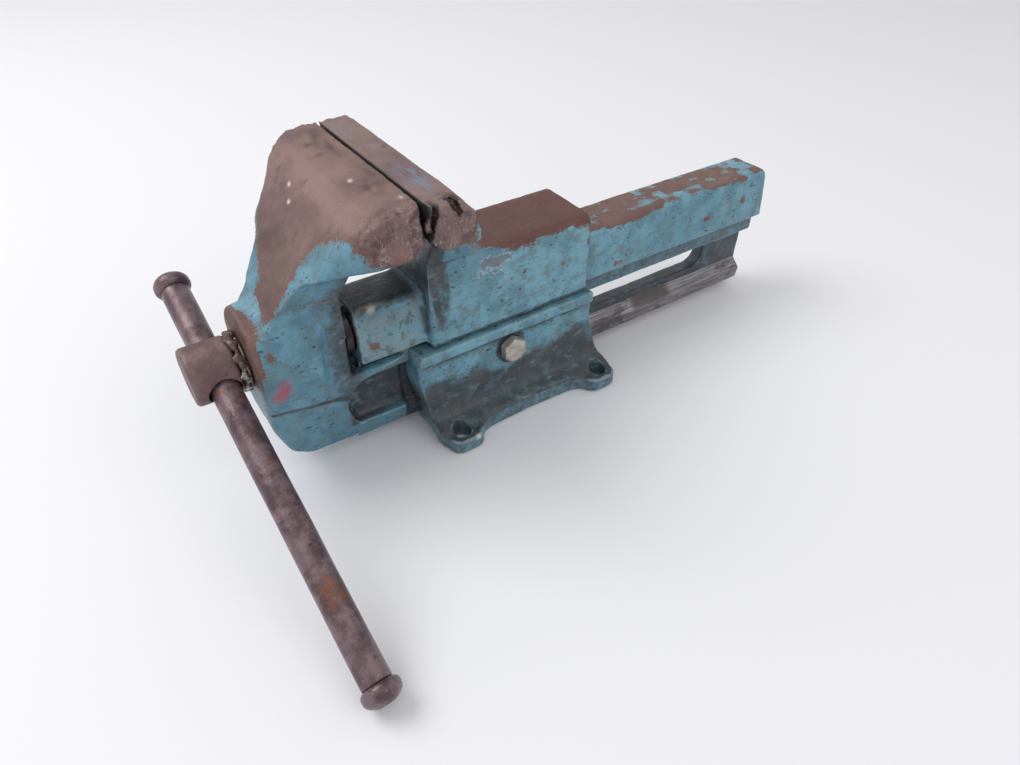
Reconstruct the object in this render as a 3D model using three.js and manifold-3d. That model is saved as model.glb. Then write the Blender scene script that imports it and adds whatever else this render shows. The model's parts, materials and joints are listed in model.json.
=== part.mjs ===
// Forward-opening bench vise, jaws 160 mm wide, drawn closed and standing on its own base.
// Millimetres, +Z up. +X runs along the spindle from the moving front jaw to the rear end of the
// fixed beam. The origin is the middle of the base's underside, on the vise's plane of symmetry.
import * as THREE from "three";
import { mergeVertices } from "three/addons/utils/BufferGeometryUtils.js";
import Module from "manifold-3d";

const wasm = await Module();
wasm.setup();

// ---------------------------------------------------------------- driving dimensions
const GAP = 0.3; // clearance between touching pieces
const ROUND = 32; // sides of a full circle on turned pieces
const RUN_THROUGH = 5; // how far a cutter runs past the face it cuts

const JAW_WIDTH = 160;
const JAW_TOP = 221;
const SEAM_X = -98; // plane where the two jaws meet
const JAW_GRIP_HEIGHT = 25; // height of the gripping faces
const HEAD_ROOT_Z = 120; // where the jaw heads sink into the bodies under them

const SPINDLE_Z = 105.5; // spindle axis, also the middle of the beam
const THREAD_R = 14; // trapezoidal thread, 28 mm outside
const THREAD_LEAD = 6;
const TURNS = 37; // turns of the spindle from closed to open
const TRAVEL = THREAD_LEAD * TURNS;

const BEAM_FRONT_X = -129;
const BEAM_REAR_X = 286;
const BEAM_TOP_Z = 127;
const BEAM_BOTTOM_Z = 84;
const BEAM_TOP_HALF = 19;
const BEAM_BOTTOM_HALF = 25.5;
const BEAM_EDGE_R = 7;
const LIP_HALF = 17; // guide lips under the beam
const LIP_BOTTOM_Z = 66;
const BEAM_BORE_R = 15.5;

const ANVIL_TOP_Z = 148;
const ANVIL_REAR_X = 69;
const BLOCK_HALF = 31; // half width of the block that carries the anvil
const BLOCK_FRONT_X = -76;

const WEB_HALF = 7; // upright web of the slide
const WEB_TOP_Z = 80;
const RAIL_HALF = 15.5; // prism rail along the foot of the slide
const RAIL_EDGE_Z = 22;
const RAIL_BOTTOM_Z = 10;
const RAIL_BOTTOM_HALF = 14.4;
const RAIL_NECK_Z = 30;
const SLOT_Z = 51;
const SLOT_HALF = 13;

const NECK_HALF = 27; // half width of the front jaw below its head
const NECK_REAR_X = -137;
const FRONT_FACE_X = -201;
const BOSS_R = 36;
const BOSS_REAR_X = -160;
const ARM_TOP_Z = 130;
const ARM_REAR_X = -94; // rear end of the full-width arm under the nose
const ARM_BOTTOM_Z = 12;

const BASE_FRONT_X = -90;
const BASE_REAR_X = 78;
const FOOT_T = 13;
const FOOT_WAIST = 48; // half width between the ears
const FOOT_END_X = 76; // half length between the ears
const HOLE_X = 68; // bench bolt holes at +-HOLE_X, +-HOLE_Y
const HOLE_Y = 54;
const HOLE_R = 7;
const EAR_R = 13.5;
const CHEEK_HALF = 33;
const RIM_HALF = 36;
const CHEEK_TAPER = 4; // step by which the ends of the cheeks slope between the foot and the top
const BASE_TOP_Z = 80;

const HEAD_R = 20.3; // spindle head
const HEAD_FRONT_X = -238;
const HEAD_REAR_X = -207;
const COLLAR_T = 3;
const WASHER_T = 2;

const BAR_R = 9.7; // tommy bar
const BAR_X = -219.5;
const BAR_DIP = THREE.MathUtils.degToRad(23.8); // slope of the bar below the horizontal
const BAR_SKEW = THREE.MathUtils.degToRad(1.2); // lean that the clearance in its hole allows
const BAR_UPPER_REACH = 73;
const BAR_LOWER_REACH = 229;
const KNOB_R = 12.6;
const KNOB_T = 12;
const SPIGOT_R = 5; // reduced ends of the bar, which the knobs are forged over

const BOLT_X = -8; // M12 cross bolt through the cheeks and the slot
const BOLT_Z = 56;
const BOLT_R = 6;
const BOLT_FLATS = 19;
const BOLT_HEAD_T = 7.5;
const NUT_T = 10;
const WASHER_R = 12;
const SLOT_FRONT_X = BOLT_X - BOLT_R - 6;
const SLOT_REAR_X = BOLT_X + BOLT_R + TRAVEL + 15; // leaves room behind the bolt at full opening

const SPINDLE_TIP_X = 160;
const RING_R = 22; // retaining ring behind the front jaw
const RING_T = 5.7;
const RING_SCREW_R = 2;
const NUT_R = 18.5; // spindle nut, pressed into the nose
const NUT_FRONT_X = -125;
const NUT_REAR_X = -77;
const NUT_SCREW_R = 3;
const NUT_SCREW_END_Y = 21.5;
const NUT_SCREW_XS = [-113, -89];

const GIB_HALF = 18.5; // guide strips over the rail
const GIB_TOP_Z = 34;
const GIB_SCREW_R = 3;
const GIB_SCREW_Z = 28;
const GIB_SCREW_END_Y = 34;
const GIB_SCREW_XS = [-36, 22];
const BODY_SCREW_R = 4;
const BODY_SCREW_XS = [-58, 48];
const BODY_SCREW_Y = 25.5;
const BODY_SCREW_TOP_Z = 102;
const CAP_R = 6.5;
const CAP_T = 8;
const CAP_BOTTOM_Z = 1.5; // the screw heads stay clear of the bench
const SOCKET_R = 3.4;

// ---------------------------------------------------------------- materials
const finish = (color, roughness, metalness) => new THREE.MeshStandardMaterial({ color, roughness, metalness });
const PAINT = finish(0x4f8fa6, 0.5, 0.1);
const RUST_STEEL = finish(0x5c4347, 0.55, 0.6);
const BRIGHT_STEEL = finish(0x9a9590, 0.35, 0.9);
const ZINC = finish(0xb9b4a8, 0.35, 0.8);
const BRONZE = finish(0x9a7a45, 0.4, 0.85);

// ---------------------------------------------------------------- solids
// A closed manifold-3d solid from a three.js geometry.
function solid(geometry) {
  const bare = geometry.clone();
  for (const name of ["normal", "uv"]) bare.deleteAttribute(name);
  const merged = mergeVertices(bare, 1e-4);
  return new wasm.Manifold(
    new wasm.Mesh({
      numProp: 3,
      vertProperties: merged.attributes.position.array,
      triVerts: new Uint32Array(merged.index.array),
    }),
  );
}

// A three.js geometry from a manifold-3d solid.
function geometryOf(body) {
  const mesh = body.getMesh();
  const geometry = new THREE.BufferGeometry();
  geometry.setAttribute("position", new THREE.BufferAttribute(new Float32Array(mesh.vertProperties), 3));
  geometry.setIndex(new THREE.BufferAttribute(new Uint32Array(mesh.triVerts), 1));
  geometry.computeVertexNormals();
  return geometry;
}

const outline = (points) => new THREE.Shape(points.map(([u, v]) => new THREE.Vector2(u, v)));
const mirrored = (half) => [...half, ...half.map(([u, v]) => [-u, v]).reverse()];

// A plain extrusion of an outline, from w = 0 to w = depth, with round stretches in few steps.
function slab(shape, depth) {
  return new THREE.ExtrudeGeometry(shape, { depth, bevelEnabled: false, curveSegments: 6 });
}

// Outline in (y, z), extruded from x0 to x1.
function alongX(shape, x0, x1) {
  const turn = new THREE.Matrix4().makeBasis(
    new THREE.Vector3(0, 1, 0),
    new THREE.Vector3(0, 0, 1),
    new THREE.Vector3(1, 0, 0),
  );
  return solid(slab(shape, x1 - x0).applyMatrix4(turn).translate(x0, 0, 0));
}

// Outline in (x, z), extruded from y0 to y1.
function alongY(shape, y0, y1) {
  return solid(slab(shape, y1 - y0).rotateX(Math.PI / 2).translate(0, y1, 0));
}

// Outline in (x, y), extruded from z0 to z1.
function alongZ(shape, z0, z1) {
  return solid(slab(shape, z1 - z0).translate(0, 0, z0));
}

function box(x0, x1, y0, y1, z0, z1) {
  const centre = [(x0 + x1) / 2, (y0 + y1) / 2, (z0 + z1) / 2];
  return solid(new THREE.BoxGeometry(x1 - x0, y1 - y0, z1 - z0).translate(...centre));
}

// A turned solid about the X axis through (0, 0, z): the profile lists [x, radius] from axis to axis.
function turnedX(profile, z, sides = ROUND) {
  const points = profile.map(([x, r]) => new THREE.Vector2(r, x));
  const lathe = new THREE.LatheGeometry(points, sides);
  return solid(lathe.rotateZ(-Math.PI / 2).translate(0, 0, z));
}

// A cylinder from one point to another.
function rod(from, to, radius, sides = ROUND) {
  const [a, b] = [new THREE.Vector3(...from), new THREE.Vector3(...to)];
  const along = b.clone().sub(a);
  const turn = new THREE.Quaternion().setFromUnitVectors(new THREE.Vector3(0, 1, 0), along.clone().normalize());
  const cylinder = new THREE.CylinderGeometry(radius, radius, along.length(), sides);
  cylinder.applyQuaternion(turn).translate(...a.add(b).multiplyScalar(0.5));
  return solid(cylinder);
}

// A hexagonal prism along Y with two corners up and down.
function hexY(x, z, flats, y0, y1) {
  const corner = flats / Math.sqrt(3);
  const points = Array.from({ length: 6 }, (_, i) => {
    const angle = Math.PI / 6 + (i * Math.PI) / 3;
    return [x + corner * Math.cos(angle), z + corner * Math.sin(angle)];
  });
  return alongY(outline(points), y0, y1);
}

const union = (first, ...rest) => rest.reduce((sum, next) => sum.add(next), first);
const cut = (body, ...cutters) => cutters.reduce((left, next) => left.subtract(next), body);

const vise = new THREE.Group();
vise.name = "bench_vise";

// Adds one named piece of the vise.
function piece(name, body, material) {
  const mesh = new THREE.Mesh(geometryOf(body), material);
  mesh.name = name;
  vise.add(mesh);
}

// ---------------------------------------------------------------- rear jaw body
// Beam section in (y, z): sloping sides, rounded top edges.
function beamSection() {
  const shape = new THREE.Shape();
  shape.moveTo(BEAM_BOTTOM_HALF, BEAM_BOTTOM_Z);
  shape.lineTo(BEAM_TOP_HALF + 1, BEAM_TOP_Z - BEAM_EDGE_R);
  shape.quadraticCurveTo(BEAM_TOP_HALF, BEAM_TOP_Z, BEAM_TOP_HALF - BEAM_EDGE_R, BEAM_TOP_Z);
  shape.lineTo(BEAM_EDGE_R - BEAM_TOP_HALF, BEAM_TOP_Z);
  shape.quadraticCurveTo(-BEAM_TOP_HALF, BEAM_TOP_Z, -BEAM_TOP_HALF - 1, BEAM_TOP_Z - BEAM_EDGE_R);
  shape.lineTo(-BEAM_BOTTOM_HALF, BEAM_BOTTOM_Z);
  return shape;
}

// Block section in (y, z) under the anvil.
function blockSection() {
  const edge = 10;
  const shape = new THREE.Shape();
  shape.moveTo(BLOCK_HALF, BASE_TOP_Z + GAP);
  shape.lineTo(BLOCK_HALF, ANVIL_TOP_Z - edge);
  shape.quadraticCurveTo(BLOCK_HALF, ANVIL_TOP_Z, BLOCK_HALF - edge, ANVIL_TOP_Z);
  shape.lineTo(edge - BLOCK_HALF, ANVIL_TOP_Z);
  shape.quadraticCurveTo(-BLOCK_HALF, ANVIL_TOP_Z, -BLOCK_HALF, ANVIL_TOP_Z - edge);
  shape.lineTo(-BLOCK_HALF, BASE_TOP_Z + GAP);
  return shape;
}

// Front view of a jaw head in (y, z): full width at the top, flaring in to the neck.
function headOutline(neckHalf, neckZ) {
  const half = JAW_WIDTH / 2;
  const corner = 9;
  const shape = new THREE.Shape();
  const endBottom = JAW_TOP - JAW_GRIP_HEIGHT - 8;
  const flareZ = endBottom - 32;
  const flareHalf = neckHalf + 5;
  shape.moveTo(neckHalf, neckZ);
  shape.quadraticCurveTo(neckHalf, flareZ - 12, flareHalf, flareZ);
  shape.quadraticCurveTo(flareHalf + 9, flareZ + 22, half, endBottom);
  shape.lineTo(half, JAW_TOP - corner);
  shape.quadraticCurveTo(half, JAW_TOP, half - corner, JAW_TOP);
  shape.lineTo(corner - half, JAW_TOP);
  shape.quadraticCurveTo(-half, JAW_TOP, -half, JAW_TOP - corner);
  shape.lineTo(-half, endBottom);
  shape.quadraticCurveTo(-flareHalf - 9, flareZ + 22, -flareHalf, flareZ);
  shape.quadraticCurveTo(-neckHalf, flareZ - 12, -neckHalf, neckZ);
  return shape;
}

function rearJawBody() {
  const face = SEAM_X + GAP / 2;
  const side = outline([
    [face, JAW_TOP],
    [face, JAW_TOP - JAW_GRIP_HEIGHT],
    [BLOCK_FRONT_X, 176],
    [BLOCK_FRONT_X, HEAD_ROOT_Z],
    [0, HEAD_ROOT_Z],
    [-24, ANVIL_TOP_Z],
    [-42, 158],
    [-56, 180],
    [-66, 208],
    [-76, JAW_TOP],
  ]);
  const half = JAW_WIDTH / 2;
  const front = headOutline(BLOCK_HALF, HEAD_ROOT_Z - 1);
  const head = alongY(side, -half, half).intersect(alongX(front, SEAM_X, ANVIL_REAR_X));
  const block = alongX(blockSection(), BLOCK_FRONT_X, ANVIL_REAR_X);
  const beam = alongX(beamSection(), BEAM_FRONT_X, BEAM_REAR_X);
  const lips = box(BEAM_FRONT_X, BEAM_REAR_X, -LIP_HALF, LIP_HALF, LIP_BOTTOM_Z, BEAM_BOTTOM_Z + 1);
  const boreEnd = BEAM_REAR_X + RUN_THROUGH;
  const bore = rod([BEAM_FRONT_X - RUN_THROUGH, 0, SPINDLE_Z], [boreEnd, 0, SPINDLE_Z], BEAM_BORE_R);
  const grooveHalf = WEB_HALF + GAP;
  const groove = box(
    BEAM_FRONT_X - RUN_THROUGH,
    BEAM_REAR_X + RUN_THROUGH,
    -grooveHalf,
    grooveHalf,
    LIP_BOTTOM_Z - RUN_THROUGH,
    WEB_TOP_Z + GAP,
  );
  return cut(union(beam, block, head, lips), bore, groove, ...nutSeat(), ...bodyScrewHoles());
}

// ---------------------------------------------------------------- front jaw body
// Slide section in (y, z): upright web on a prism rail.
function slideSection() {
  return outline(
    mirrored([
      [RAIL_BOTTOM_HALF, RAIL_BOTTOM_Z],
      [RAIL_HALF, RAIL_EDGE_Z],
      [WEB_HALF, RAIL_NECK_Z],
      [WEB_HALF, WEB_TOP_Z],
    ]),
  );
}

// Section of the arm in (y, z): upright sides above, drawn in towards the bottom.
function armSection(top) {
  return outline(
    mirrored([
      [15, ARM_BOTTOM_Z],
      [18, ARM_BOTTOM_Z + 3],
      [NECK_HALF, 70],
      [NECK_HALF, top],
    ]),
  );
}

// Rounded triangular recess in each side of the arm, outlined in (x, z).
function armPocket(sign) {
  const shape = new THREE.Shape();
  shape.moveTo(-128, 30);
  shape.quadraticCurveTo(-143, 34, -142, 52);
  shape.quadraticCurveTo(-141, 66, -128, 72);
  shape.lineTo(ARM_REAR_X + RUN_THROUGH, 78);
  shape.lineTo(ARM_REAR_X + RUN_THROUGH, 30);
  const depth = WEB_HALF + 3;
  const side = NECK_HALF + RUN_THROUGH;
  return alongY(shape, Math.min(sign * depth, sign * side), Math.max(sign * depth, sign * side));
}

// Plan of the front jaw head in (x, y): full width along the seam, drawn in towards the spindle.
function frontHeadPlan() {
  const half = JAW_WIDTH / 2;
  const right = [
    [SEAM_X + 1, half],
    [-118, half],
    [-131, half - 3],
    [-139, half - 10],
    [-145, 62],
    [-165, 50],
    [-187, 36],
    [-215, 30],
  ];
  return outline([...right, ...right.map(([x, y]) => [x, -y]).reverse()]);
}

function frontJawBody() {
  const face = SEAM_X - GAP / 2;
  const side = outline([
    [face, JAW_TOP],
    [-112, JAW_TOP],
    [-126, 217],
    [-138, 209],
    [-154, 187],
    [-167, 168],
    [-180, 150],
    [-187, 138],
    [-187, HEAD_ROOT_Z],
    [NECK_REAR_X, HEAD_ROOT_Z],
    [NECK_REAR_X, 145],
    [-131, 162],
    [-117, 178],
    [face, JAW_TOP - JAW_GRIP_HEIGHT],
  ]);
  const half = JAW_WIDTH / 2;
  const head = alongY(side, -half, half)
    .intersect(alongX(headOutline(NECK_HALF, HEAD_ROOT_Z - 1), HEAD_FRONT_X, SEAM_X))
    .intersect(alongZ(frontHeadPlan(), 0, JAW_TOP + RUN_THROUGH));
  const lowerSide = outline([
    [FRONT_FACE_X + 8, ARM_TOP_Z],
    [FRONT_FACE_X, 118],
    [FRONT_FACE_X, 80],
    [FRONT_FACE_X + 2, 58],
    [FRONT_FACE_X + 6, 40],
    [FRONT_FACE_X + 13, 25],
    [FRONT_FACE_X + 24, ARM_BOTTOM_Z + 4],
    [FRONT_FACE_X + 40, ARM_BOTTOM_Z + 2],
    [ARM_REAR_X - 6, ARM_BOTTOM_Z],
    [ARM_REAR_X, ARM_BOTTOM_Z + 8],
    [ARM_REAR_X, WEB_TOP_Z],
    [NECK_REAR_X, WEB_TOP_Z],
    [NECK_REAR_X, ARM_TOP_Z],
  ]);
  const section = armSection(ARM_TOP_Z + RUN_THROUGH);
  const arm = alongY(lowerSide, -half, half).intersect(alongX(section, HEAD_FRONT_X, BEAM_REAR_X));
  const boss = turnedX(
    [
      [FRONT_FACE_X, 0],
      [FRONT_FACE_X, BOSS_R - 4],
      [FRONT_FACE_X + 3, BOSS_R],
      [BOSS_REAR_X, BOSS_R - 4],
      [BOSS_REAR_X + 10, 0],
    ],
    SPINDLE_Z,
  );
  const lipRoom = 2 * GAP;
  const lipChannel = box(
    BEAM_FRONT_X - 2,
    ARM_REAR_X + RUN_THROUGH,
    -LIP_HALF - lipRoom,
    LIP_HALF + lipRoom,
    LIP_BOTTOM_Z - GAP,
    WEB_TOP_Z + RUN_THROUGH,
  );
  const slide = alongX(slideSection(), NECK_REAR_X, BEAM_REAR_X);
  const bore = rod([HEAD_FRONT_X, 0, SPINDLE_Z], [NECK_REAR_X + RUN_THROUGH, 0, SPINDLE_Z], THREAD_R + GAP);
  return cut(union(head, cut(arm, lipChannel), boss, slide), bore, slideSlot(), armPocket(1), armPocket(-1));
}

// Long slot in the web: the cross bolt runs in it and stops the jaw at its rear end.
function slideSlot() {
  const shape = new THREE.Shape();
  shape.absarc(SLOT_FRONT_X + SLOT_HALF, SLOT_Z, SLOT_HALF, Math.PI / 2, -Math.PI / 2, false);
  shape.absarc(SLOT_REAR_X - SLOT_HALF, SLOT_Z, SLOT_HALF, -Math.PI / 2, Math.PI / 2, false);
  return alongY(shape, -RAIL_HALF, RAIL_HALF);
}

// ---------------------------------------------------------------- base
// Foot outline in (x, y): four round ears with hollow edges between them.
function footOutline() {
  const [ex, ey] = [HOLE_X, HOLE_Y];
  const hollow = 22; // half length of the straight part of each end
  const shape = new THREE.Shape();
  shape.moveTo(-ex, -ey - EAR_R);
  shape.quadraticCurveTo(-ex + EAR_R, -ey - EAR_R, -ex + 1.8 * EAR_R, -ey - 2);
  shape.quadraticCurveTo(0, -FOOT_WAIST, ex - 1.8 * EAR_R, -ey - 2);
  shape.quadraticCurveTo(ex - EAR_R, -ey - EAR_R, ex, -ey - EAR_R);
  shape.quadraticCurveTo(ex + EAR_R, -ey - EAR_R, ex + EAR_R, -ey);
  shape.quadraticCurveTo(ex + EAR_R, -ey + EAR_R, FOOT_END_X, -hollow);
  shape.lineTo(FOOT_END_X, hollow);
  shape.quadraticCurveTo(ex + EAR_R, ey - EAR_R, ex + EAR_R, ey);
  shape.quadraticCurveTo(ex + EAR_R, ey + EAR_R, ex, ey + EAR_R);
  shape.quadraticCurveTo(ex - EAR_R, ey + EAR_R, ex - 1.8 * EAR_R, ey + 2);
  shape.quadraticCurveTo(0, FOOT_WAIST, -ex + 1.8 * EAR_R, ey + 2);
  shape.quadraticCurveTo(-ex + EAR_R, ey + EAR_R, -ex, ey + EAR_R);
  shape.quadraticCurveTo(-ex - EAR_R, ey + EAR_R, -ex - EAR_R, ey);
  shape.quadraticCurveTo(-ex - EAR_R, ey - EAR_R, -FOOT_END_X, hollow);
  shape.lineTo(-FOOT_END_X, -hollow);
  shape.quadraticCurveTo(-ex - EAR_R, -ey + EAR_R, -ex - EAR_R, -ey);
  shape.quadraticCurveTo(-ex - EAR_R, -ey - EAR_R, -ex, -ey - EAR_R);
  return shape;
}

// Section of the upper base in (y, z): flared foot, upright cheeks and a rim along the top.
function cheekSection() {
  return outline(
    mirrored([
      [50, 2],
      [50, FOOT_T],
      [43, FOOT_T + 3],
      [38, 24],
      [35.5, 38],
      [CHEEK_HALF, 52],
      [CHEEK_HALF, BASE_TOP_Z - 13],
      [RIM_HALF, BASE_TOP_Z - 11],
      [RIM_HALF, BASE_TOP_Z - 3],
      [RIM_HALF - 3, BASE_TOP_Z],
    ]),
  );
}

function base() {
  const foot = alongZ(footOutline(), 0, FOOT_T);
  const ends = outline([
    [BASE_FRONT_X + 9, 1],
    [BASE_FRONT_X + CHEEK_TAPER, 28],
    [BASE_FRONT_X, 52],
    [BASE_FRONT_X, BASE_TOP_Z],
    [BASE_REAR_X - CHEEK_TAPER, BASE_TOP_Z],
    [BASE_REAR_X - CHEEK_TAPER, 52],
    [BASE_REAR_X, 28],
    [BASE_REAR_X + CHEEK_TAPER, 1],
  ]);
  const cheekBar = alongX(cheekSection(), BASE_FRONT_X, BASE_REAR_X + RUN_THROUGH);
  const cheeks = cheekBar.intersect(alongY(ends, -HOLE_Y, HOLE_Y));
  const clearance = 2 * GAP;
  const channel = outline(
    mirrored([
      [RAIL_HALF + clearance, RAIL_BOTTOM_Z - clearance],
      [RAIL_HALF + clearance, RAIL_EDGE_Z - GAP],
      [GIB_HALF + GAP, RAIL_EDGE_Z - GAP],
      [GIB_HALF + GAP, GIB_TOP_Z + GAP],
      [WEB_HALF + clearance, GIB_TOP_Z + GAP],
      [WEB_HALF + clearance, LIP_BOTTOM_Z - GAP],
      [LIP_HALF + clearance, LIP_BOTTOM_Z - GAP],
      [LIP_HALF + clearance, BASE_TOP_Z + RUN_THROUGH],
    ]),
  );
  const holePlaces = [-HOLE_X, HOLE_X].flatMap((x) => [-HOLE_Y, HOLE_Y].map((y) => [x, y]));
  const holes = holePlaces.map((place) => rod([...place, -RUN_THROUGH], [...place, 3 * FOOT_T], HOLE_R));
  const boltHole = rod([BOLT_X, -HOLE_Y, BOLT_Z], [BOLT_X, HOLE_Y, BOLT_Z], BOLT_R + GAP);
  const spotFaces = [-1, 1].map((side) =>
    rod([BOLT_X, side * CHEEK_HALF, BOLT_Z], [BOLT_X, side * HOLE_Y, BOLT_Z], WASHER_R + 1),
  );
  return cut(
    union(foot, cheeks),
    alongX(channel, BASE_FRONT_X - RUN_THROUGH, BASE_REAR_X + 2 * RUN_THROUGH),
    ...holes,
    boltHole,
    ...spotFaces,
    ...bodyScrewHoles(),
    ...gibScrewHoles(),
  );
}

// ---------------------------------------------------------------- guide strips and their screws
function gib(side) {
  const section = outline(
    [
      [WEB_HALF + 2 * GAP, RAIL_NECK_Z + GAP],
      [RAIL_HALF + GAP, RAIL_EDGE_Z + GAP],
      [GIB_HALF, RAIL_EDGE_Z + GAP],
      [GIB_HALF, GIB_TOP_Z],
      [WEB_HALF + 2 * GAP, GIB_TOP_Z],
    ].map(([y, z]) => [side * y, z]),
  );
  return alongX(section, BASE_FRONT_X + CHEEK_TAPER, BASE_REAR_X - CHEEK_TAPER);
}

// Set screws in the far cheek, which press the far strip against the rail.
function gibScrew(x, growth = 0) {
  const end = GIB_SCREW_END_Y + 10 * growth;
  return rod([x, GIB_HALF + GAP, GIB_SCREW_Z], [x, end, GIB_SCREW_Z], GIB_SCREW_R + growth, 16);
}

const gibScrewHoles = () => GIB_SCREW_XS.map((x) => gibScrew(x, GAP));

// ---------------------------------------------------------------- screws from the base up into the jaw body
const bodyScrewPlaces = BODY_SCREW_XS.flatMap((x) => [-1, 1].map((side) => [x, side * BODY_SCREW_Y]));

function bodyScrew([x, y], growth = 0) {
  const shank = rod([x, y, CAP_T / 2], [x, y, BODY_SCREW_TOP_Z + growth], BODY_SCREW_R + growth, 16);
  const bottom = growth ? -RUN_THROUGH : CAP_BOTTOM_Z;
  const cap = rod([x, y, bottom], [x, y, CAP_BOTTOM_Z + CAP_T + growth], CAP_R + growth, 24);
  return union(shank, cap);
}

const bodyScrewHoles = () => bodyScrewPlaces.map((place) => bodyScrew(place, GAP));

function bodyCapScrew([x, y]) {
  const socket = new THREE.CylinderGeometry(SOCKET_R, SOCKET_R, CAP_T, 6).rotateX(Math.PI / 2);
  return cut(bodyScrew([x, y]), solid(socket.translate(x, y, CAP_BOTTOM_Z)));
}

// ---------------------------------------------------------------- spindle nut
// Room for the nut and its set screws, cut from the nose of the beam.
function nutSeat() {
  const seat = rod([BEAM_FRONT_X - RUN_THROUGH, 0, SPINDLE_Z], [NUT_REAR_X + GAP, 0, SPINDLE_Z], NUT_R + GAP);
  return [seat, ...NUT_SCREW_XS.map((x) => nutScrew(x, GAP))];
}

function nutScrew(x, growth = 0) {
  const end = NUT_SCREW_END_Y + 10 * growth;
  return rod([x, NUT_R - 1.2 - growth, SPINDLE_Z], [x, end, SPINDLE_Z], NUT_SCREW_R + growth, 16);
}

function spindleNut() {
  const edge = 1;
  const inner = THREAD_R + GAP;
  const body = turnedX(
    [
      [NUT_FRONT_X, inner],
      [NUT_FRONT_X, NUT_R - edge],
      [NUT_FRONT_X + edge, NUT_R],
      [NUT_REAR_X, NUT_R],
      [NUT_REAR_X, inner],
      [NUT_FRONT_X, inner],
    ],
    SPINDLE_Z,
  );
  return cut(body, ...NUT_SCREW_XS.map((x) => nutScrew(x, GAP)));
}

// ---------------------------------------------------------------- spindle, head and thrust pieces
function ringX(x0, x1, outer, inner) {
  return turnedX(
    [
      [x0, inner],
      [x0, outer],
      [x1, outer],
      [x1, inner],
      [x0, inner],
    ],
    SPINDLE_Z,
  );
}

function spindle() {
  const start = HEAD_REAR_X + GAP;
  return turnedX(
    [
      [start, 0],
      [start, THREAD_R],
      [SPINDLE_TIP_X - 4, THREAD_R],
      [SPINDLE_TIP_X, THREAD_R - 4],
      [SPINDLE_TIP_X, 0],
    ],
    SPINDLE_Z,
  );
}

// Direction of the tommy bar, from the head down towards its lower end.
const barWay = new THREE.Vector3(
  Math.sin(BAR_SKEW),
  -Math.cos(BAR_DIP) * Math.cos(BAR_SKEW),
  -Math.sin(BAR_DIP) * Math.cos(BAR_SKEW),
);
const barCentre = new THREE.Vector3(BAR_X, 0, SPINDLE_Z);
const onBar = (t) => barCentre.clone().addScaledVector(barWay, t).toArray();

function spindleHead() {
  const round = 4;
  const head = turnedX(
    [
      [HEAD_FRONT_X, 0],
      [HEAD_FRONT_X, HEAD_R - round],
      [HEAD_FRONT_X + round / 3, HEAD_R - round / 3],
      [HEAD_FRONT_X + round, HEAD_R],
      [HEAD_REAR_X - 1, HEAD_R],
      [HEAD_REAR_X, HEAD_R - 1],
      [HEAD_REAR_X, 0],
    ],
    SPINDLE_Z,
  );
  return cut(head, rod(onBar(-40), onBar(40), BAR_R + 1.2));
}

function retainingRing() {
  const ring = ringX(NECK_REAR_X + GAP, NECK_REAR_X + GAP + RING_T, RING_R, THREAD_R + GAP);
  return cut(ring, ringScrew(1, GAP), ringScrew(-1, GAP));
}

// Set screw of the retaining ring, above (side 1) or below (side -1) the spindle.
function ringScrew(side, growth = 0) {
  const x = NECK_REAR_X + GAP + RING_T / 2;
  const inner = SPINDLE_Z + side * (THREAD_R + GAP - growth);
  const outer = SPINDLE_Z + side * (RING_R - 0.6 + 6 * growth);
  return rod([x, 0, inner], [x, 0, outer], RING_SCREW_R + growth / 2, 16);
}

// ---------------------------------------------------------------- tommy bar
function tommyBar() {
  const shoulder = KNOB_T / 2 + GAP;
  const tip = KNOB_T / 2 - 1;
  const shaft = rod(onBar(shoulder - BAR_UPPER_REACH), onBar(BAR_LOWER_REACH - shoulder), BAR_R);
  const spigot = rod(onBar(-BAR_UPPER_REACH - tip), onBar(BAR_LOWER_REACH + tip), SPIGOT_R, 16);
  return union(shaft, spigot);
}

// Upset end knob, centred at distance t along the bar.
function barKnob(t) {
  const h = KNOB_T / 2;
  const bore = SPIGOT_R + GAP;
  const shoulder = KNOB_R - 0.6;
  const faceR = KNOB_R - 2.1;
  const profile = [
    [bore, -h],
    [faceR, -h],
    [shoulder, -h * 0.6],
    [KNOB_R, -h * 0.15],
    [KNOB_R, h * 0.15],
    [shoulder, h * 0.6],
    [faceR, h],
    [bore, h],
    [bore, -h],
  ].map(([r, y]) => new THREE.Vector2(r, y));
  const turn = new THREE.Quaternion().setFromUnitVectors(new THREE.Vector3(0, 1, 0), barWay);
  const knob = new THREE.LatheGeometry(profile, ROUND).applyQuaternion(turn);
  return solid(knob.translate(...onBar(t)));
}

// ---------------------------------------------------------------- cross bolt
function clampBolt() {
  const seat = CHEEK_HALF + GAP;
  const head = hexY(BOLT_X, BOLT_Z, BOLT_FLATS, -seat - BOLT_HEAD_T, -seat);
  const tail = seat + WASHER_T + NUT_T + 4;
  return union(head, rod([BOLT_X, -seat - 1, BOLT_Z], [BOLT_X, tail, BOLT_Z], BOLT_R));
}

function clampWasher() {
  const y = CHEEK_HALF + GAP;
  const disc = rod([BOLT_X, y, BOLT_Z], [BOLT_X, y + WASHER_T, BOLT_Z], WASHER_R);
  return cut(disc, rod([BOLT_X, y - 1, BOLT_Z], [BOLT_X, y + WASHER_T + 1, BOLT_Z], BOLT_R + GAP));
}

function clampNut() {
  const y = CHEEK_HALF + 2 * GAP + WASHER_T;
  const body = hexY(BOLT_X, BOLT_Z, BOLT_FLATS, y, y + NUT_T);
  return cut(body, rod([BOLT_X, y - 1, BOLT_Z], [BOLT_X, y + NUT_T + 1, BOLT_Z], BOLT_R + GAP));
}

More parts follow.
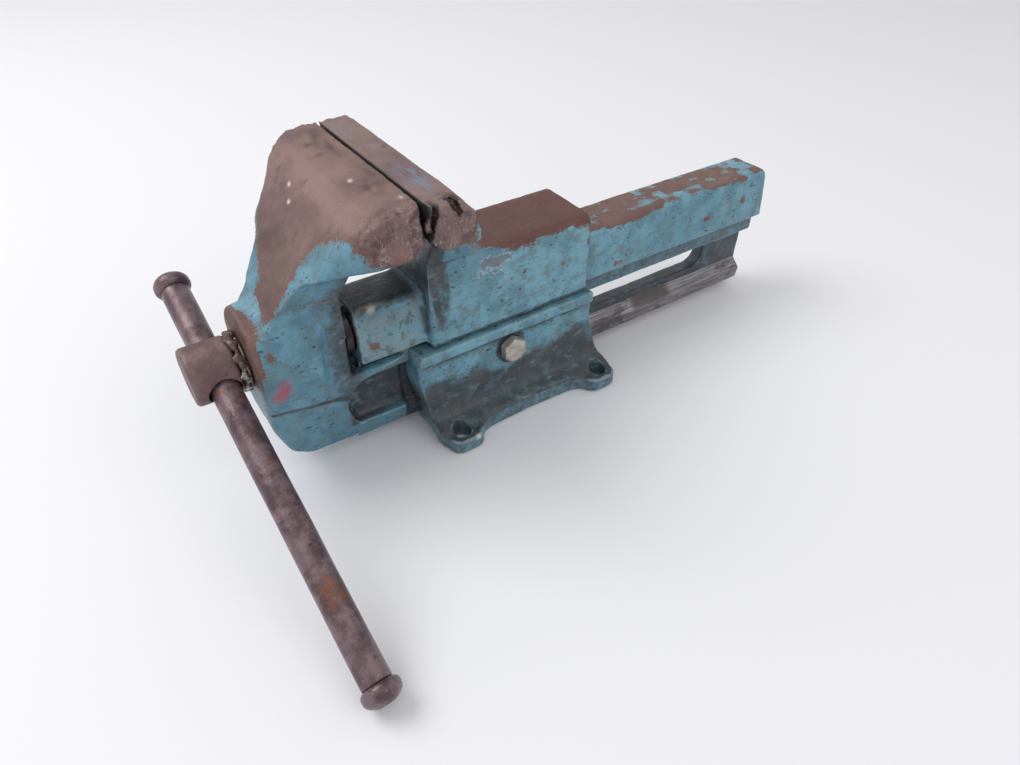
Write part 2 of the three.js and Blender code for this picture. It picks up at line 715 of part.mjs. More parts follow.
// ---------------------------------------------------------------- assembly
piece("base", base(), PAINT);
piece("rear_jaw_body", rearJawBody(), PAINT);
piece("front_jaw_body", frontJawBody(), PAINT);
piece("gib_near", gib(-1), BRIGHT_STEEL);
piece("gib_far", gib(1), BRIGHT_STEEL);
GIB_SCREW_XS.forEach((x, i) => piece(`gib_screw_${i + 1}`, gibScrew(x), BRIGHT_STEEL));
bodyScrewPlaces.forEach((place, i) => piece(`body_screw_${i + 1}`, bodyCapScrew(place), BRIGHT_STEEL));
piece("clamp_bolt", clampBolt(), ZINC);
piece("clamp_washer", clampWasher(), ZINC);
piece("clamp_nut", clampNut(), ZINC);
piece("spindle_nut", spindleNut(), BRONZE);
NUT_SCREW_XS.forEach((x, i) => piece(`nut_screw_${i + 1}`, nutScrew(x), BRIGHT_STEEL));
piece("spindle", spindle(), BRIGHT_STEEL);
piece("spindle_head", spindleHead(), RUST_STEEL);
const collarFront = HEAD_REAR_X + GAP;
piece("thrust_collar", ringX(collarFront, collarFront + COLLAR_T, HEAD_R - 0.3, THREAD_R + GAP), BRONZE);
const washerFront = collarFront + COLLAR_T + GAP;
piece("thrust_washer", ringX(washerFront, washerFront + WASHER_T, HEAD_R - 1, THREAD_R + GAP), BRIGHT_STEEL);
piece("retaining_ring", retainingRing(), BRIGHT_STEEL);
piece("ring_screw_1", ringScrew(1), BRIGHT_STEEL);
piece("ring_screw_2", ringScrew(-1), BRIGHT_STEEL);
piece("tommy_bar", tommyBar(), RUST_STEEL);
piece("bar_end_upper", barKnob(-BAR_UPPER_REACH), RUST_STEEL);
piece("bar_end_lower", barKnob(BAR_LOWER_REACH), RUST_STEEL);

export default vise;
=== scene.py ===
"""Looks of a forged forward-opening bench vise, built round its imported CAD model.

Shapes are worked out in millimetres as distance fields: a field is negative inside the steel, and
rounding a field rounds the forging. Each field is meshed once and then scaled to metres.
"""

import json
import math

import bpy
import bmesh
import numpy as np
from mathutils import Matrix, Vector


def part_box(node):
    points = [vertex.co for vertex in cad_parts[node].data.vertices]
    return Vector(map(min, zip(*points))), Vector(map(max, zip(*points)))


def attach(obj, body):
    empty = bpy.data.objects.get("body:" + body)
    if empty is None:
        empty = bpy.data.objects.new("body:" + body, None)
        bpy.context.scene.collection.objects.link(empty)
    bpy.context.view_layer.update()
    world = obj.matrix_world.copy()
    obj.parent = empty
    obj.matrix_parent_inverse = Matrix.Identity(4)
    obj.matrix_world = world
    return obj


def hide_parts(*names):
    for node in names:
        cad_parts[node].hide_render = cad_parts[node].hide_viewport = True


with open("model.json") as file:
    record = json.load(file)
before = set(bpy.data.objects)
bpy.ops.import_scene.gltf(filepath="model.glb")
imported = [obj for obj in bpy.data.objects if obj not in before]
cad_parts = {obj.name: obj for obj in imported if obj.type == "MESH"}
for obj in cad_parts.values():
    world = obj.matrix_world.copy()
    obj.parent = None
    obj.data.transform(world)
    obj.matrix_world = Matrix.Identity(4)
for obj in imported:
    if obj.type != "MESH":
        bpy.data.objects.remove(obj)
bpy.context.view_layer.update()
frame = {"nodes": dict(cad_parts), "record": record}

# ---------------------------------------------------------------- sizes in mm, from the frame
M_TO_MM = 1000.0


def cad_box(node):
    low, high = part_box(node)
    return low * M_TO_MM, high * M_TO_MM


def mount(name):
    for entry in frame["record"]["mounts"]:
        if entry["name"] == name:
            return Vector(entry["pos_m"]) * M_TO_MM
    raise KeyError(name)


REAR_LOW, REAR_HIGH = cad_box("rear_jaw_body")
FRONT_LOW = cad_box("front_jaw_body")[0]
BASE_LOW, BASE_HIGH = cad_box("base")
HEAD_LOW, HEAD_HIGH = cad_box("spindle_head")
NUT_LOW, NUT_HIGH = cad_box("spindle_nut")
SPINDLE_LOW, SPINDLE_HIGH = cad_box("spindle")
BOLT_LOW, BOLT_HIGH = cad_box("clamp_bolt")
COLLAR_LOW, COLLAR_HIGH = cad_box("thrust_collar")

JAW_HALF = REAR_HIGH.y
JAW_TOP = REAR_HIGH.z
ANVIL_Z = mount("anvil_top").z
AXIS_Z = (HEAD_LOW.z + HEAD_HIGH.z) / 2
BEAM_FRONT = REAR_LOW.x
BEAM_REAR = REAR_HIGH.x
LIP_BOTTOM = REAR_LOW.z
FRONT_FACE = FRONT_LOW.x
RAIL_BOTTOM = FRONT_LOW.z
BASE_TOP = BASE_HIGH.z
THREAD_R = (SPINDLE_HIGH.z - SPINDLE_LOW.z) / 2

# Shapes that a box can't give, the same as in the CAD model.
GAP = 0.3
SEAM_X = -98.0
BEAM_TOP, BEAM_BOTTOM = 127.0, 84.0
BEAM_TOP_HALF, BEAM_BOTTOM_HALF = 20.0, 25.5
BORE_R = 15.5
LIP_HALF = 17.0
WEB_HALF, WEB_TOP = 7.0, 80.0
RAIL_HALF, RAIL_EDGE, RAIL_NECK = 15.5, 22.0, 30.0
SLOT_FRONT, SLOT_REAR, SLOT_Z, SLOT_R = -20.0, 235.0, 51.0, 13.0
NECK_HALF, NECK_REAR = 27.0, -137.0
ARM_REAR, ARM_BOTTOM = -94.0, 12.0
BOSS_R = 36.0
BLOCK_HALF, BLOCK_FRONT, ANVIL_REAR = 31.0, -76.0, 69.0
GRIP_HEIGHT = 25.0
HOLE_X, HOLE_Y, HOLE_R, EAR_R = 68.0, 54.0, 7.0, 13.5
FOOT_TOP = 13.0
CHEEK_HALF, RIM_HALF = 33.0, 36.0
BAR_DIP, BAR_SKEW = math.radians(23.8), math.radians(1.2)
BAR_X, BAR_R = -219.5, 9.7
BAR_UPPER_REACH, BAR_LOWER_REACH = 73.0, 229.0
KNOB_R, KNOB_T, SPIGOT_R = 12.6, 12.0, 5.0
BOLT_R = 6.0
THREAD_LEAD = 6.0

VOXEL = 1.3
# An edge that stands out by this part of a voxel or more has a mask of 1.
FULL_EDGE = 1 / 2.2

# ---------------------------------------------------------------- distance fields
class Grid:
    """Regular grid of sample points in mm, kept as three broadcasting axes."""

    def __init__(self, low, high, step=VOXEL, margin=3):
        self.step = step
        self.low = np.array(low, np.float32) - margin * step
        counts = np.ceil((np.array(high) + margin * step - self.low) / step).astype(int) + 1
        x, y, z = [self.low[i] + step * np.arange(counts[i], dtype=np.float32) for i in range(3)]
        self.x, self.y, self.z = x[:, None, None], y[None, :, None], z[None, None, :]


def rounded(corners, steps=5):
    """Outline through (u, v, radius) corners, with each corner turned into an arc-like curve."""
    points = []
    count = len(corners)
    for i, (u, v, radius) in enumerate(corners):
        corner = np.array([u, v], float)
        before = np.array(corners[i - 1][:2], float) - corner
        after = np.array(corners[(i + 1) % count][:2], float) - corner
        if radius <= 0:
            points.append(corner)
            continue
        angle = math.acos(np.clip(before @ after / np.linalg.norm(before) / np.linalg.norm(after), -1, 1))
        reach = radius / math.tan(angle / 2)
        reach = min(reach, 0.48 * np.linalg.norm(before), 0.48 * np.linalg.norm(after))
        start = corner + before / np.linalg.norm(before) * reach
        end = corner + after / np.linalg.norm(after) * reach
        for t in np.linspace(0, 1, steps):
            points.append((1 - t) ** 2 * start + 2 * t * (1 - t) * corner + t * t * end)
    return np.array(points)


def both_sides(half):
    """Closed outline from its right half, listed from bottom to top."""
    return [*half, *[(-u, v, r) for u, v, r in reversed(half)]]


def polygon(u, v, points):
    """Signed distance to a closed outline."""
    best = np.float32(np.inf)
    inside = np.zeros(np.broadcast(u, v).shape, bool)
    for (au, av), (bu, bv) in zip(points, np.roll(points, -1, axis=0)):
        eu, ev = bu - au, bv - av
        length = eu * eu + ev * ev
        if length < 1e-9:
            continue
        wu, wv = u - au, v - av
        t = np.clip((wu * eu + wv * ev) / length, 0, 1)
        best = np.minimum(best, (wu - t * eu) ** 2 + (wv - t * ev) ** 2)
        if av != bv:
            inside ^= ((av > v) != (bv > v)) & (u < eu * (v - av) / ev + au)
    return np.where(inside, -1, 1) * np.sqrt(best)


def circle(u, v, u0, v0, radius):
    return np.sqrt((u - u0) ** 2 + (v - v0) ** 2) - radius


def both(a, b, edge=0.0):
    """Where two fields overlap, with the new edge rounded."""
    if edge <= 0:
        return np.maximum(a, b)
    corner = np.hypot(np.maximum(edge + a, 0), np.maximum(edge + b, 0))
    return np.minimum(-edge, np.maximum(a, b)) + corner


def either(a, b, fillet=0.0):
    """Two fields joined, with the new corner filleted."""
    if fillet <= 0:
        return np.minimum(a, b)
    corner = np.hypot(np.maximum(fillet - a, 0), np.maximum(fillet - b, 0))
    return np.maximum(fillet, np.minimum(a, b)) - corner


def without(a, b, edge=0.0):
    """The first field with the second cut out of it."""
    return both(a, -b, edge)


def between(w, low, high):
    return np.maximum(low - w, w - high)


def along_x(grid, outline, x0, x1, edge=0.0):
    return both(polygon(grid.y, grid.z, outline), between(grid.x, x0, x1), edge)


def along_z(grid, outline, z0, z1, edge=0.0):
    return both(polygon(grid.x, grid.y, outline), between(grid.z, z0, z1), edge)


def block(grid, x0, x1, y0, y1, z0, z1, edge=0.0):
    return both(both(between(grid.x, x0, x1), between(grid.y, y0, y1), edge), between(grid.z, z0, z1), edge)


def rod_x(grid, radius, x0, x1, edge=0.0):
    """Cylinder on the spindle's axis."""
    return both(circle(grid.y, grid.z, 0, AXIS_Z, radius), between(grid.x, x0, x1), edge)


# ---------------------------------------------------------------- field to mesh
def surface_net(field, grid):
    """Vertices in mm and quads of the zero surface of a field."""
    inside = field < 0
    offsets = np.array([(i, j, k) for i in (0, 1) for j in (0, 1) for k in (0, 1)])
    size = np.array(field.shape) - 1
    count = sum(
        inside[i : i + size[0], j : j + size[1], k : k + size[2]].astype(np.int8) for i, j, k in offsets
    )
    active = (count > 0) & (count < 8)
    cells = np.argwhere(active)
    index = np.full(active.shape, -1, np.int32)
    index[active] = np.arange(len(cells))
    corners = [field[tuple((cells + offset).T)] for offset in offsets]
    total = np.zeros((len(cells), 3))
    hits = np.zeros(len(cells))
    for a in range(8):
        for b in range(a + 1, 8):
            if np.abs(offsets[a] - offsets[b]).sum() != 1:
                continue
            cross = (corners[a] < 0) != (corners[b] < 0)
            t = corners[a][cross] / (corners[a][cross] - corners[b][cross])
            total[cross] += offsets[a] + t[:, None] * (offsets[b] - offsets[a])
            hits[cross] += 1
    verts = grid.low + (cells + total / hits[:, None]) * grid.step
    quads = []
    for axis in range(3):
        second, third = (axis + 1) % 3, (axis + 2) % 3
        low = np.take(inside, range(field.shape[axis] - 1), axis)
        high = np.take(inside, range(1, field.shape[axis]), axis)
        edges = np.argwhere(low != high)
        edges = edges[(edges[:, second] > 0) & (edges[:, third] > 0)]
        ring = []
        for ds, dt in ((1, 1), (0, 1), (0, 0), (1, 0)):
            cell = edges.copy()
            cell[:, second] -= ds
            cell[:, third] -= dt
            ring.append(index[tuple(cell.T)])
        quad = np.stack(ring, 1)
        outward = low[tuple(edges.T)]
        quad[~outward] = quad[~outward][:, ::-1]
        quads.append(quad)
    return verts, np.concatenate(quads)


def sample(field, grid, points):
    """Trilinear values of a field at points in mm."""
    place = (points - grid.low) / grid.step
    cell = np.clip(np.floor(place).astype(int), 0, np.array(field.shape) - 2)
    part = place - cell
    value = 0
    for i in (0, 1):
        for j in (0, 1):
            for k in (0, 1):
                weight = np.abs(1 - i - part[:, 0]) * np.abs(1 - j - part[:, 1]) * np.abs(1 - k - part[:, 2])
                value = value + weight * field[cell[:, 0] + i, cell[:, 1] + j, cell[:, 2] + k]
    return value


def gradient(field, grid, points):
    step = grid.step * 0.5
    columns = []
    for axis in range(3):
        shift = np.zeros(3)
        shift[axis] = step
        columns.append(sample(field, grid, points + shift) - sample(field, grid, points - shift))
    slope = np.stack(columns, 1)
    return slope / np.maximum(np.linalg.norm(slope, axis=1, keepdims=True), 1e-6)


def waves(points, length, seed, count=9):
    """Smooth random lumps, roughly -1 to 1, about one wavelength across."""
    rng = np.random.default_rng(seed)
    value = 0
    for _ in range(count):
        way = rng.normal(size=3)
        way /= np.linalg.norm(way)
        pace = 2 * math.pi / (length * rng.uniform(0.7, 1.5))
        value = value + np.sin(points @ way * pace + rng.uniform(0, 2 * math.pi))
    return value / math.sqrt(count)


def new_object(name, verts_mm, faces):
    mesh = bpy.data.meshes.new(name)
    mesh.from_pydata((verts_mm / M_TO_MM).tolist(), [], [list(face) for face in faces])
    mesh.validate()
    mesh.update()
    mesh.shade_smooth()
    piece = bpy.data.objects.new(name, mesh)
    bpy.context.scene.collection.objects.link(piece)
    return piece


def spread(values, quads, count, rounds):
    """Vertex values averaged with their neighbours, several times."""
    a = np.concatenate([quads[:, i] for i in range(4)])
    b = np.concatenate([quads[:, (i + 1) % 4] for i in range(4)])
    degree = np.bincount(a, minlength=count) + np.bincount(b, minlength=count)
    for _ in range(rounds):
        total = np.bincount(a, values[b], count) + np.bincount(b, values[a], count)
        values = 0.4 * values + 0.6 * total / degree
    return values


def standing_out(verts, quads, normals, rounds=6):
    """How far vertices stand out of their smoothed surroundings in mm; negative in hollows."""
    count = len(verts)
    smooth = np.stack([spread(verts[:, i], quads, count, rounds) for i in range(3)], 1)
    return np.einsum("ij,ij->i", verts - smooth, normals)


def forged(name, field, grid, lumps=0.35, wear=None):
    """Meshes a field, adds forging lumps and worn edges, and stores the edge and hollow masks."""
    verts, quads = surface_net(field, grid)
    normals = gradient(field, grid, verts)
    bend = standing_out(verts, quads, normals) / (FULL_EDGE * grid.step)
    dents = 0.5 * lumps * (1 + waves(verts, 32, 11)) + 0.25 * lumps * (1 + waves(verts, 9, 12))
    depth = np.clip(dents, 0, None)
    if wear is not None:
        depth = depth + wear(verts, normals)
    moved = verts - normals * depth[:, None]
    piece = new_object(name, moved, quads)
    store(piece, "edge", np.clip(bend, 0, 1))
    store(piece, "hollow", np.clip(-bend, 0, 1))
    return piece, moved, normals


def store(piece, name, values):
    layer = piece.data.attributes.new(name, "FLOAT", "POINT")
    layer.data.foreach_set("value", np.asarray(values, np.float32))


def seam_wear(grid, seed):
    """How far a gripping face is eaten back at (y, z): most along its top edge and at the near end."""
    rng = np.random.default_rng(seed)
    rough = 0
    for length in (31, 17, 9, 6):
        turn, phase = rng.uniform(0, math.pi), rng.uniform(0, 2 * math.pi)
        along = grid.y * math.cos(turn) + grid.z * math.sin(turn)
        rough = rough + 0.4 * np.sin(2 * math.pi * along / length + phase)
    top = np.exp(np.minimum(grid.z - JAW_TOP, 0) / 5)
    near = np.exp(-(grid.y + JAW_HALF) / 9)
    return 0.15 + np.clip(rough, 0, 1) * (0.2 + 0.7 * top) + 1.1 * near * (0.3 + 0.7 * top)


# ---------------------------------------------------------------- front jaw
def head_front_view(neck_half, neck_z):
    """A jaw head in (y, z): full width at the top, drawn in to the neck."""
    end_bottom = JAW_TOP - GRIP_HEIGHT - 8
    return rounded(both_sides([
        (neck_half, neck_z, 0), (neck_half, end_bottom - 42, 16), (neck_half + 10, end_bottom - 18, 20),
        (JAW_HALF, end_bottom, 3), (JAW_HALF, JAW_TOP, 5),
    ]))


def front_head(grid):
    """Head and neck of the moving jaw, where its side, front and top views overlap."""
    face = SEAM_X - GAP / 2
    side = rounded([
        (face, JAW_TOP, 1.2), (-112, JAW_TOP - 0.5, 10), (-127, 217, 10), (-139, 208, 9),
        (-154, 187, 40), (-180, 151, 24), (-187, 138, 8), (-187, 112, 0), (NECK_REAR, 112, 0),
        (NECK_REAR, 147, 12), (-130, 164, 14), (-117, 179, 12), (face, JAW_TOP - GRIP_HEIGHT, 2),
    ])
    far_edge = [
        (face + 6, JAW_HALF, 0), (-118, JAW_HALF, 6), (-131, JAW_HALF - 3, 6), (-139, JAW_HALF - 10, 6),
        (-145, 62, 10), (-165, 50, 30), (-187, 36, 20), (-215, 30, 0),
    ]
    plan = rounded([*far_edge, *[(x, -y, radius) for x, y, radius in reversed(far_edge)]])
    head = both(polygon(grid.x, grid.z, side), polygon(grid.y, grid.z, head_front_view(NECK_HALF, 108)), 3)
    head = both(head, polygon(grid.x, grid.y, plan), 6)
    scoop = circle(grid.y, grid.z, JAW_HALF + 10, 191, 14) + 0 * grid.x
    head = without(head, np.maximum(scoop, grid.x + 106), 2.5)
    return both(head, grid.x - face + seam_wear(grid, 51), 0.8)


def front_arm(grid):
    """Arm from the neck down to the slide, with a channel for the beam's lips."""
    side = rounded([
        (FRONT_FACE + 8, 131, 4), (FRONT_FACE, 118, 4), (FRONT_FACE, 78, 20), (FRONT_FACE + 3, 52, 20),
        (FRONT_FACE + 12, 25, 16), (FRONT_FACE + 26, ARM_BOTTOM + 3, 14), (ARM_REAR, ARM_BOTTOM, 5),
        (ARM_REAR, WEB_TOP, 1), (NECK_REAR, WEB_TOP, 3), (NECK_REAR, 131, 0),
    ])
    corners = [(13, ARM_BOTTOM, 5), (18, ARM_BOTTOM + 4, 10), (NECK_HALF, 71, 2.5), (NECK_HALF, 140, 0)]
    arm = both(polygon(grid.x, grid.z, side), polygon(grid.y, grid.z, rounded(both_sides(corners))), 5)
    half = LIP_HALF + 0.6
    channel = block(grid, BEAM_FRONT - 2, ARM_REAR + 9, -half, half, LIP_BOTTOM - 0.4, WEB_TOP + 9, 0.8)
    return without(arm, channel, 0.8)


def front_jaw_field(grid):
    boss = rod_x(grid, BOSS_R, FRONT_FACE, -158, edge=4)
    throat = np.maximum(np.maximum(NECK_REAR - grid.x, WEB_TOP - grid.z), grid.z - 138) + 0 * grid.y
    body = either(either(front_head(grid), front_arm(grid)), boss, 9)
    body = both(without(body, throat, 1), FRONT_FACE - grid.x, 2)
    body = without(body, pocket(grid), 2.5)
    bore = rod_x(grid, THREAD_R + 0.6, FRONT_FACE - 9, NECK_REAR + 9)
    return without(either(body, slide_field(grid), 1.5), bore, 0.8)


def slide_field(grid):
    """Upright web on a prism rail, with the long slot."""
    section = rounded(both_sides([
        (RAIL_HALF - 1.1, RAIL_BOTTOM, 1), (RAIL_HALF, RAIL_EDGE, 1.2),
        (WEB_HALF, RAIL_NECK, 1.5), (WEB_HALF, WEB_TOP, 1),
    ]))
    slide = along_x(grid, section, NECK_REAR, BEAM_REAR, 1.2)
    run = np.clip(grid.x, SLOT_FRONT + SLOT_R, SLOT_REAR - SLOT_R)
    slot = np.hypot(grid.x - run, grid.z - SLOT_Z) - SLOT_R
    return without(slide, slot, 0.9)


def pocket(grid):
    """Rounded triangular recess in each side of the arm."""
    rear = ARM_REAR + 9
    outline = rounded([(-136, 29, 8), (-144, 50, 16), (-134, 71, 13), (rear, 80, 0), (rear, 27, 0)])
    return both(polygon(grid.x, grid.z, outline), WEB_HALF + 3 - np.abs(grid.y), 5)


# ---------------------------------------------------------------- rear jaw and beam
def end_flap_slit(grid):
    """Wedge-shaped crack that has peeled a flap off the near end of the gripping face."""
    run = np.clip((JAW_TOP + 2 - grid.z) / 25, 0, 1)
    middle = -90.5 - 6.5 * run
    half = 1.6 * np.clip((-JAW_HALF + 9 - grid.y) / 9, -1, 1.3) * (1 - 0.6 * run)
    return np.maximum(np.abs(grid.x - middle) - half, (JAW_TOP - 22) - grid.z)


def corner_gash(grid):
    """Curved tear in the near end, close to its rear top corner."""
    run = np.clip((JAW_TOP + 1 - grid.z) / 13, 0, 1)
    middle = -83.5 + 8.0 * run
    half = 0.7 + 1.2 * np.sin(math.pi * np.clip(run, 0, 1)) ** 2
    deep = grid.y + JAW_HALF - 7.5 + 1.5 * run
    tear = np.maximum(np.abs(grid.x - middle) - half, deep)
    return np.maximum(tear, (JAW_TOP - 12.5) - grid.z)


def rear_head(grid):
    """Head of the fixed jaw, worn at the seam and torn at its near end."""
    face = SEAM_X + GAP / 2
    side = rounded([
        (face, JAW_TOP, 1.2), (face, JAW_TOP - GRIP_HEIGHT, 2), (BLOCK_FRONT, 176, 10),
        (BLOCK_FRONT, 118, 0), (0, 118, 0), (-16, ANVIL_Z, 0), (-38, ANVIL_Z + 3, 12),
        (-54, 176, 14), (-64, 208, 10), (-75.5, JAW_TOP, 6),
    ])
    head = both(polygon(grid.x, grid.z, side), polygon(grid.y, grid.z, head_front_view(BLOCK_HALF, 108)), 4)
    head = both(head, face + seam_wear(grid, 52) - grid.x, 0.8)
    return without(without(head, end_flap_slit(grid)), corner_gash(grid), 0.5)


def rear_jaw_field(grid):
    block_section = rounded(both_sides([(BLOCK_HALF, BASE_TOP + GAP, 1), (BLOCK_HALF, ANVIL_Z, 9)]))
    middle = along_x(grid, block_section, BLOCK_FRONT, ANVIL_REAR, 3)
    beam_corners = [(BEAM_BOTTOM_HALF, BEAM_BOTTOM, 1.5), (BEAM_TOP_HALF, BEAM_TOP, 7.5)]
    beam = along_x(grid, rounded(both_sides(beam_corners)), BEAM_FRONT, BEAM_REAR, 1.6)
    lips = block(grid, BEAM_FRONT, BEAM_REAR, -LIP_HALF, LIP_HALF, LIP_BOTTOM, BEAM_BOTTOM + 3, 0.9)
    body = either(either(beam, middle, 2.5), rear_head(grid), 8)
    # The fillets may not swell the block's sides, nor the nose where the front jaw passes.
    body = both(body, np.minimum(np.abs(grid.y) - BLOCK_HALF, 150 - grid.z) + 0 * grid.x)
    body = both(body, np.minimum(np.minimum(BLOCK_FRONT - grid.x, 165 - grid.z), beam - 2.5))
    body = either(body, lips, 1.2)
    half = WEB_HALF + GAP
    groove = block(grid, BEAM_FRONT - 9, BEAM_REAR + 9, -half, half, LIP_BOTTOM - 9, WEB_TOP + GAP)
    seat = rod_x(grid, (NUT_HIGH.z - NUT_LOW.z) / 2 + 0.1, BEAM_FRONT - 9, NUT_HIGH.x + GAP)
    bore = rod_x(grid, BORE_R, BEAM_FRONT - 9, BEAM_REAR + 9)
    body = without(body, groove, 0.6)
    return without(without(body, bore, 0.8), seat, 0.8)


# ---------------------------------------------------------------- base
def foot_outline():
    """Four round ears with hollow edges between them, in (x, y)."""
    ear_x, ear_y = HOLE_X + EAR_R, HOLE_Y + EAR_R
    quarter = [
        (HOLE_X + 8, 0, 0), (HOLE_X + 8, HOLE_Y - 26, 18), (ear_x, HOLE_Y - 10, 10), (ear_x, ear_y, EAR_R),
        (HOLE_X - 12, ear_y, 12), (HOLE_X - 22, HOLE_Y - 1, 18), (0, HOLE_Y - 5, 0),
    ]
    right = [*[(u, -v, r) for u, v, r in reversed(quarter)], *quarter[1:]]
    return rounded([*right, *[(-u, v, r) for u, v, r in reversed(right)][1:-1]], 7)


def bolt_axis():
    """Where the cross bolt passes, in (x, z)."""
    return (BOLT_LOW.x + BOLT_HIGH.x) / 2, (BOLT_LOW.z + BOLT_HIGH.z) / 2


def base_channel(grid):
    """Channel along the base for the rail, the gib strips, the web and the beam's lips."""
    play = 0.6
    gib_half, gib_top = 18.8, 34.3
    outline = rounded(both_sides([
        (RAIL_HALF + play, RAIL_BOTTOM - play, 0), (RAIL_HALF + play, RAIL_EDGE - GAP, 0),
        (gib_half, RAIL_EDGE - GAP, 0), (gib_half, gib_top, 0),
        (WEB_HALF + play, gib_top, 0), (WEB_HALF + play, LIP_BOTTOM - GAP, 0),
        (LIP_HALF + play, LIP_BOTTOM - GAP, 0), (LIP_HALF + play, BASE_TOP + 4, 0),
    ]))
    return polygon(grid.y, grid.z, outline) + 0 * grid.x


def base_cheeks(grid):
    """The two cheeks with their rim, flared towards the feet."""
    section = rounded(both_sides([
        (50, 1, 0), (50, FOOT_TOP, 4), (38.5, FOOT_TOP + 9, 22), (CHEEK_HALF, 50, 20),
        (CHEEK_HALF, BASE_TOP - 12, 2), (RIM_HALF, BASE_TOP - 10, 1.5), (RIM_HALF, BASE_TOP, 3),
    ]))
    ends = rounded([
        (BASE_LOW.x + 9, 1, 0), (BASE_LOW.x + 4, 28, 20), (BASE_LOW.x, 52, 16), (BASE_LOW.x, BASE_TOP, 3),
        (74, BASE_TOP, 3), (74, 52, 16), (78, 28, 20), (BASE_HIGH.x, 1, 0),
    ])
    return both(polygon(grid.y, grid.z, section), polygon(grid.x, grid.z, ends), 3)


def base_field(grid):
    foot = along_z(grid, foot_outline(), 0, FOOT_TOP, 2.2)
    body = either(foot, base_cheeks(grid), 9)
    body = without(body, base_channel(grid), 1.2)
    holes = circle(np.abs(grid.x), np.abs(grid.y), HOLE_X, HOLE_Y, HOLE_R) + 0 * grid.z
    body = without(body, holes, 1.2)
    bolt_x, bolt_z = bolt_axis()
    spot_face = both(circle(grid.x, grid.z, bolt_x, bolt_z, 13), CHEEK_HALF - 0.2 - np.abs(grid.y), 1)
    return without(body, spot_face, 1.0)


def forging(name, body, node, field_of, mark, paint, wear=None):
    """Meshes a forging inside the box of its CAD node, marks it and paints it."""
    low, high = cad_box(node)
    grid = Grid(low, high)
    room = block(grid, low.x, high.x, low.y, high.y, low.z, high.z)
    piece, verts, normals = forged(name, both(field_of(grid), room), grid, wear=wear)
    mark(piece, verts, normals)
    dress(piece, body, paint, "painted_steel", node)


# ---------------------------------------------------------------- marks on the forgings
def region(u, v, outline, reach):
    """1 well inside an outline, 0 well outside, 0.5 on it; reach is the half width in mm."""
    return np.clip(0.5 - polygon(u, v, np.array(outline, float)) / (2 * reach), 0, 1)


def ramp(values, low, high):
    t = np.clip((values - low) / (high - low), 0, 1)
    return t * t * (3 - 2 * t)


def fall(values, low, high):
    return 1 - ramp(values, low, high)


def sideways(normals):
    """1 on faces that look along y, either way."""
    return ramp(np.abs(normals[:, 1]), 0.5, 0.8)


def spot(verts, centre, size):
    """A soft round mark of 1 at its centre, with its own half size in x, y and z."""
    away = (verts - np.array(centre)) / np.array(size)
    return np.exp(-np.einsum("ij,ij->i", away, away))


def spots(verts, *marks):
    """Soft marks added up, each given as its strength, centre and half sizes."""
    return sum(strength * spot(verts, centre, size) for strength, centre, size in marks)


def scored(u, v, points, width):
    """1 along a line through (u, v) points, falling away over its width in mm."""
    best = np.inf
    for (au, av), (bu, bv) in zip(points, points[1:]):
        eu, ev = bu - au, bv - av
        t = np.clip(((u - au) * eu + (v - av) * ev) / (eu * eu + ev * ev), 0, 1)
        best = np.minimum(best, (u - au - t * eu) ** 2 + (v - av - t * ev) ** 2)
    return np.exp(-best / width**2)


def seam_shade(verts, normals, facing):
    """Painted shade on the gripping face, down in the seam between the jaws; the face looks along x in the
    direction of facing.
    """
    x, y, z = verts.T
    return ramp(facing * normals[:, 0], 0.25, 0.7) * fall(np.abs(x - SEAM_X), 3, 5) * ramp(z, 188, 193)


def near_end(verts):
    """The hammered ends of the jaws on the side with the cross bolt's head."""
    return fall(verts[:, 1], -74, -58) * ramp(verts[:, 2], 176, 190)


def store_marks(piece, **marks):
    for name, values in marks.items():
        store(piece, name, np.clip(values, 0, 1))


def battered(verts, seed):
    """Hammer bruises over the ends of the jaws, in mm."""
    ends = ramp(np.abs(verts[:, 1]), 62, 76) * ramp(verts[:, 2], 182, 192)
    facets = np.abs(waves(verts, 21, seed)) + 0.6 * np.abs(waves(verts, 10, seed + 1))
    return 1.5 * ends * np.clip(facets, 0, 1.6)


def wear_front_jaw(verts, normals):
    """The battered ends, two creases along the arm, scratches and a notch, in mm."""
    x, y, z = verts.T
    crease = scored(x, z, [(-200, 72.5), (-189, 71), (-176, 68), (-156, 65), (-142, 61)], 1.5)
    fold = scored(x, z, [(-200, 68), (-180, 64), (-158, 60)], 1.3)
    folds = (0.75 * crease + 0.4 * fold) * sideways(normals) * fall(z, 80, 90)
    scratch = scored(x, z, [(-120, 206), (-101, 203)], 0.9) + scored(x, z, [(-118, 212), (-102, 214)], 0.8)
    scratch = scratch * fall(y, -76, -70)
    notch = spot(verts, (-118, -22, 219), (2.5, 3, 3))
    return battered(verts, 41) + folds + 0.5 * scratch + 0.6 * notch


def wear_rear_jaw(verts, normals):
    """The battered ends, a forging arc on the near side, and dents beside the anvil, in mm."""
    x, y, z = verts.T
    near = fall(y, -28, -20) * sideways(normals)
    arc = scored(x, z, [(-44, 94), (-35, 103), (-17, 104), (20, 98), (67, 80)], 1.6)
    dents = spots(verts, (1, (49, -31, 122), (5, 4, 3.5)), (0.8, (38, -31, 128), (6, 4, 2)))
    return battered(verts, 43) + near * (0.3 * arc + dents)


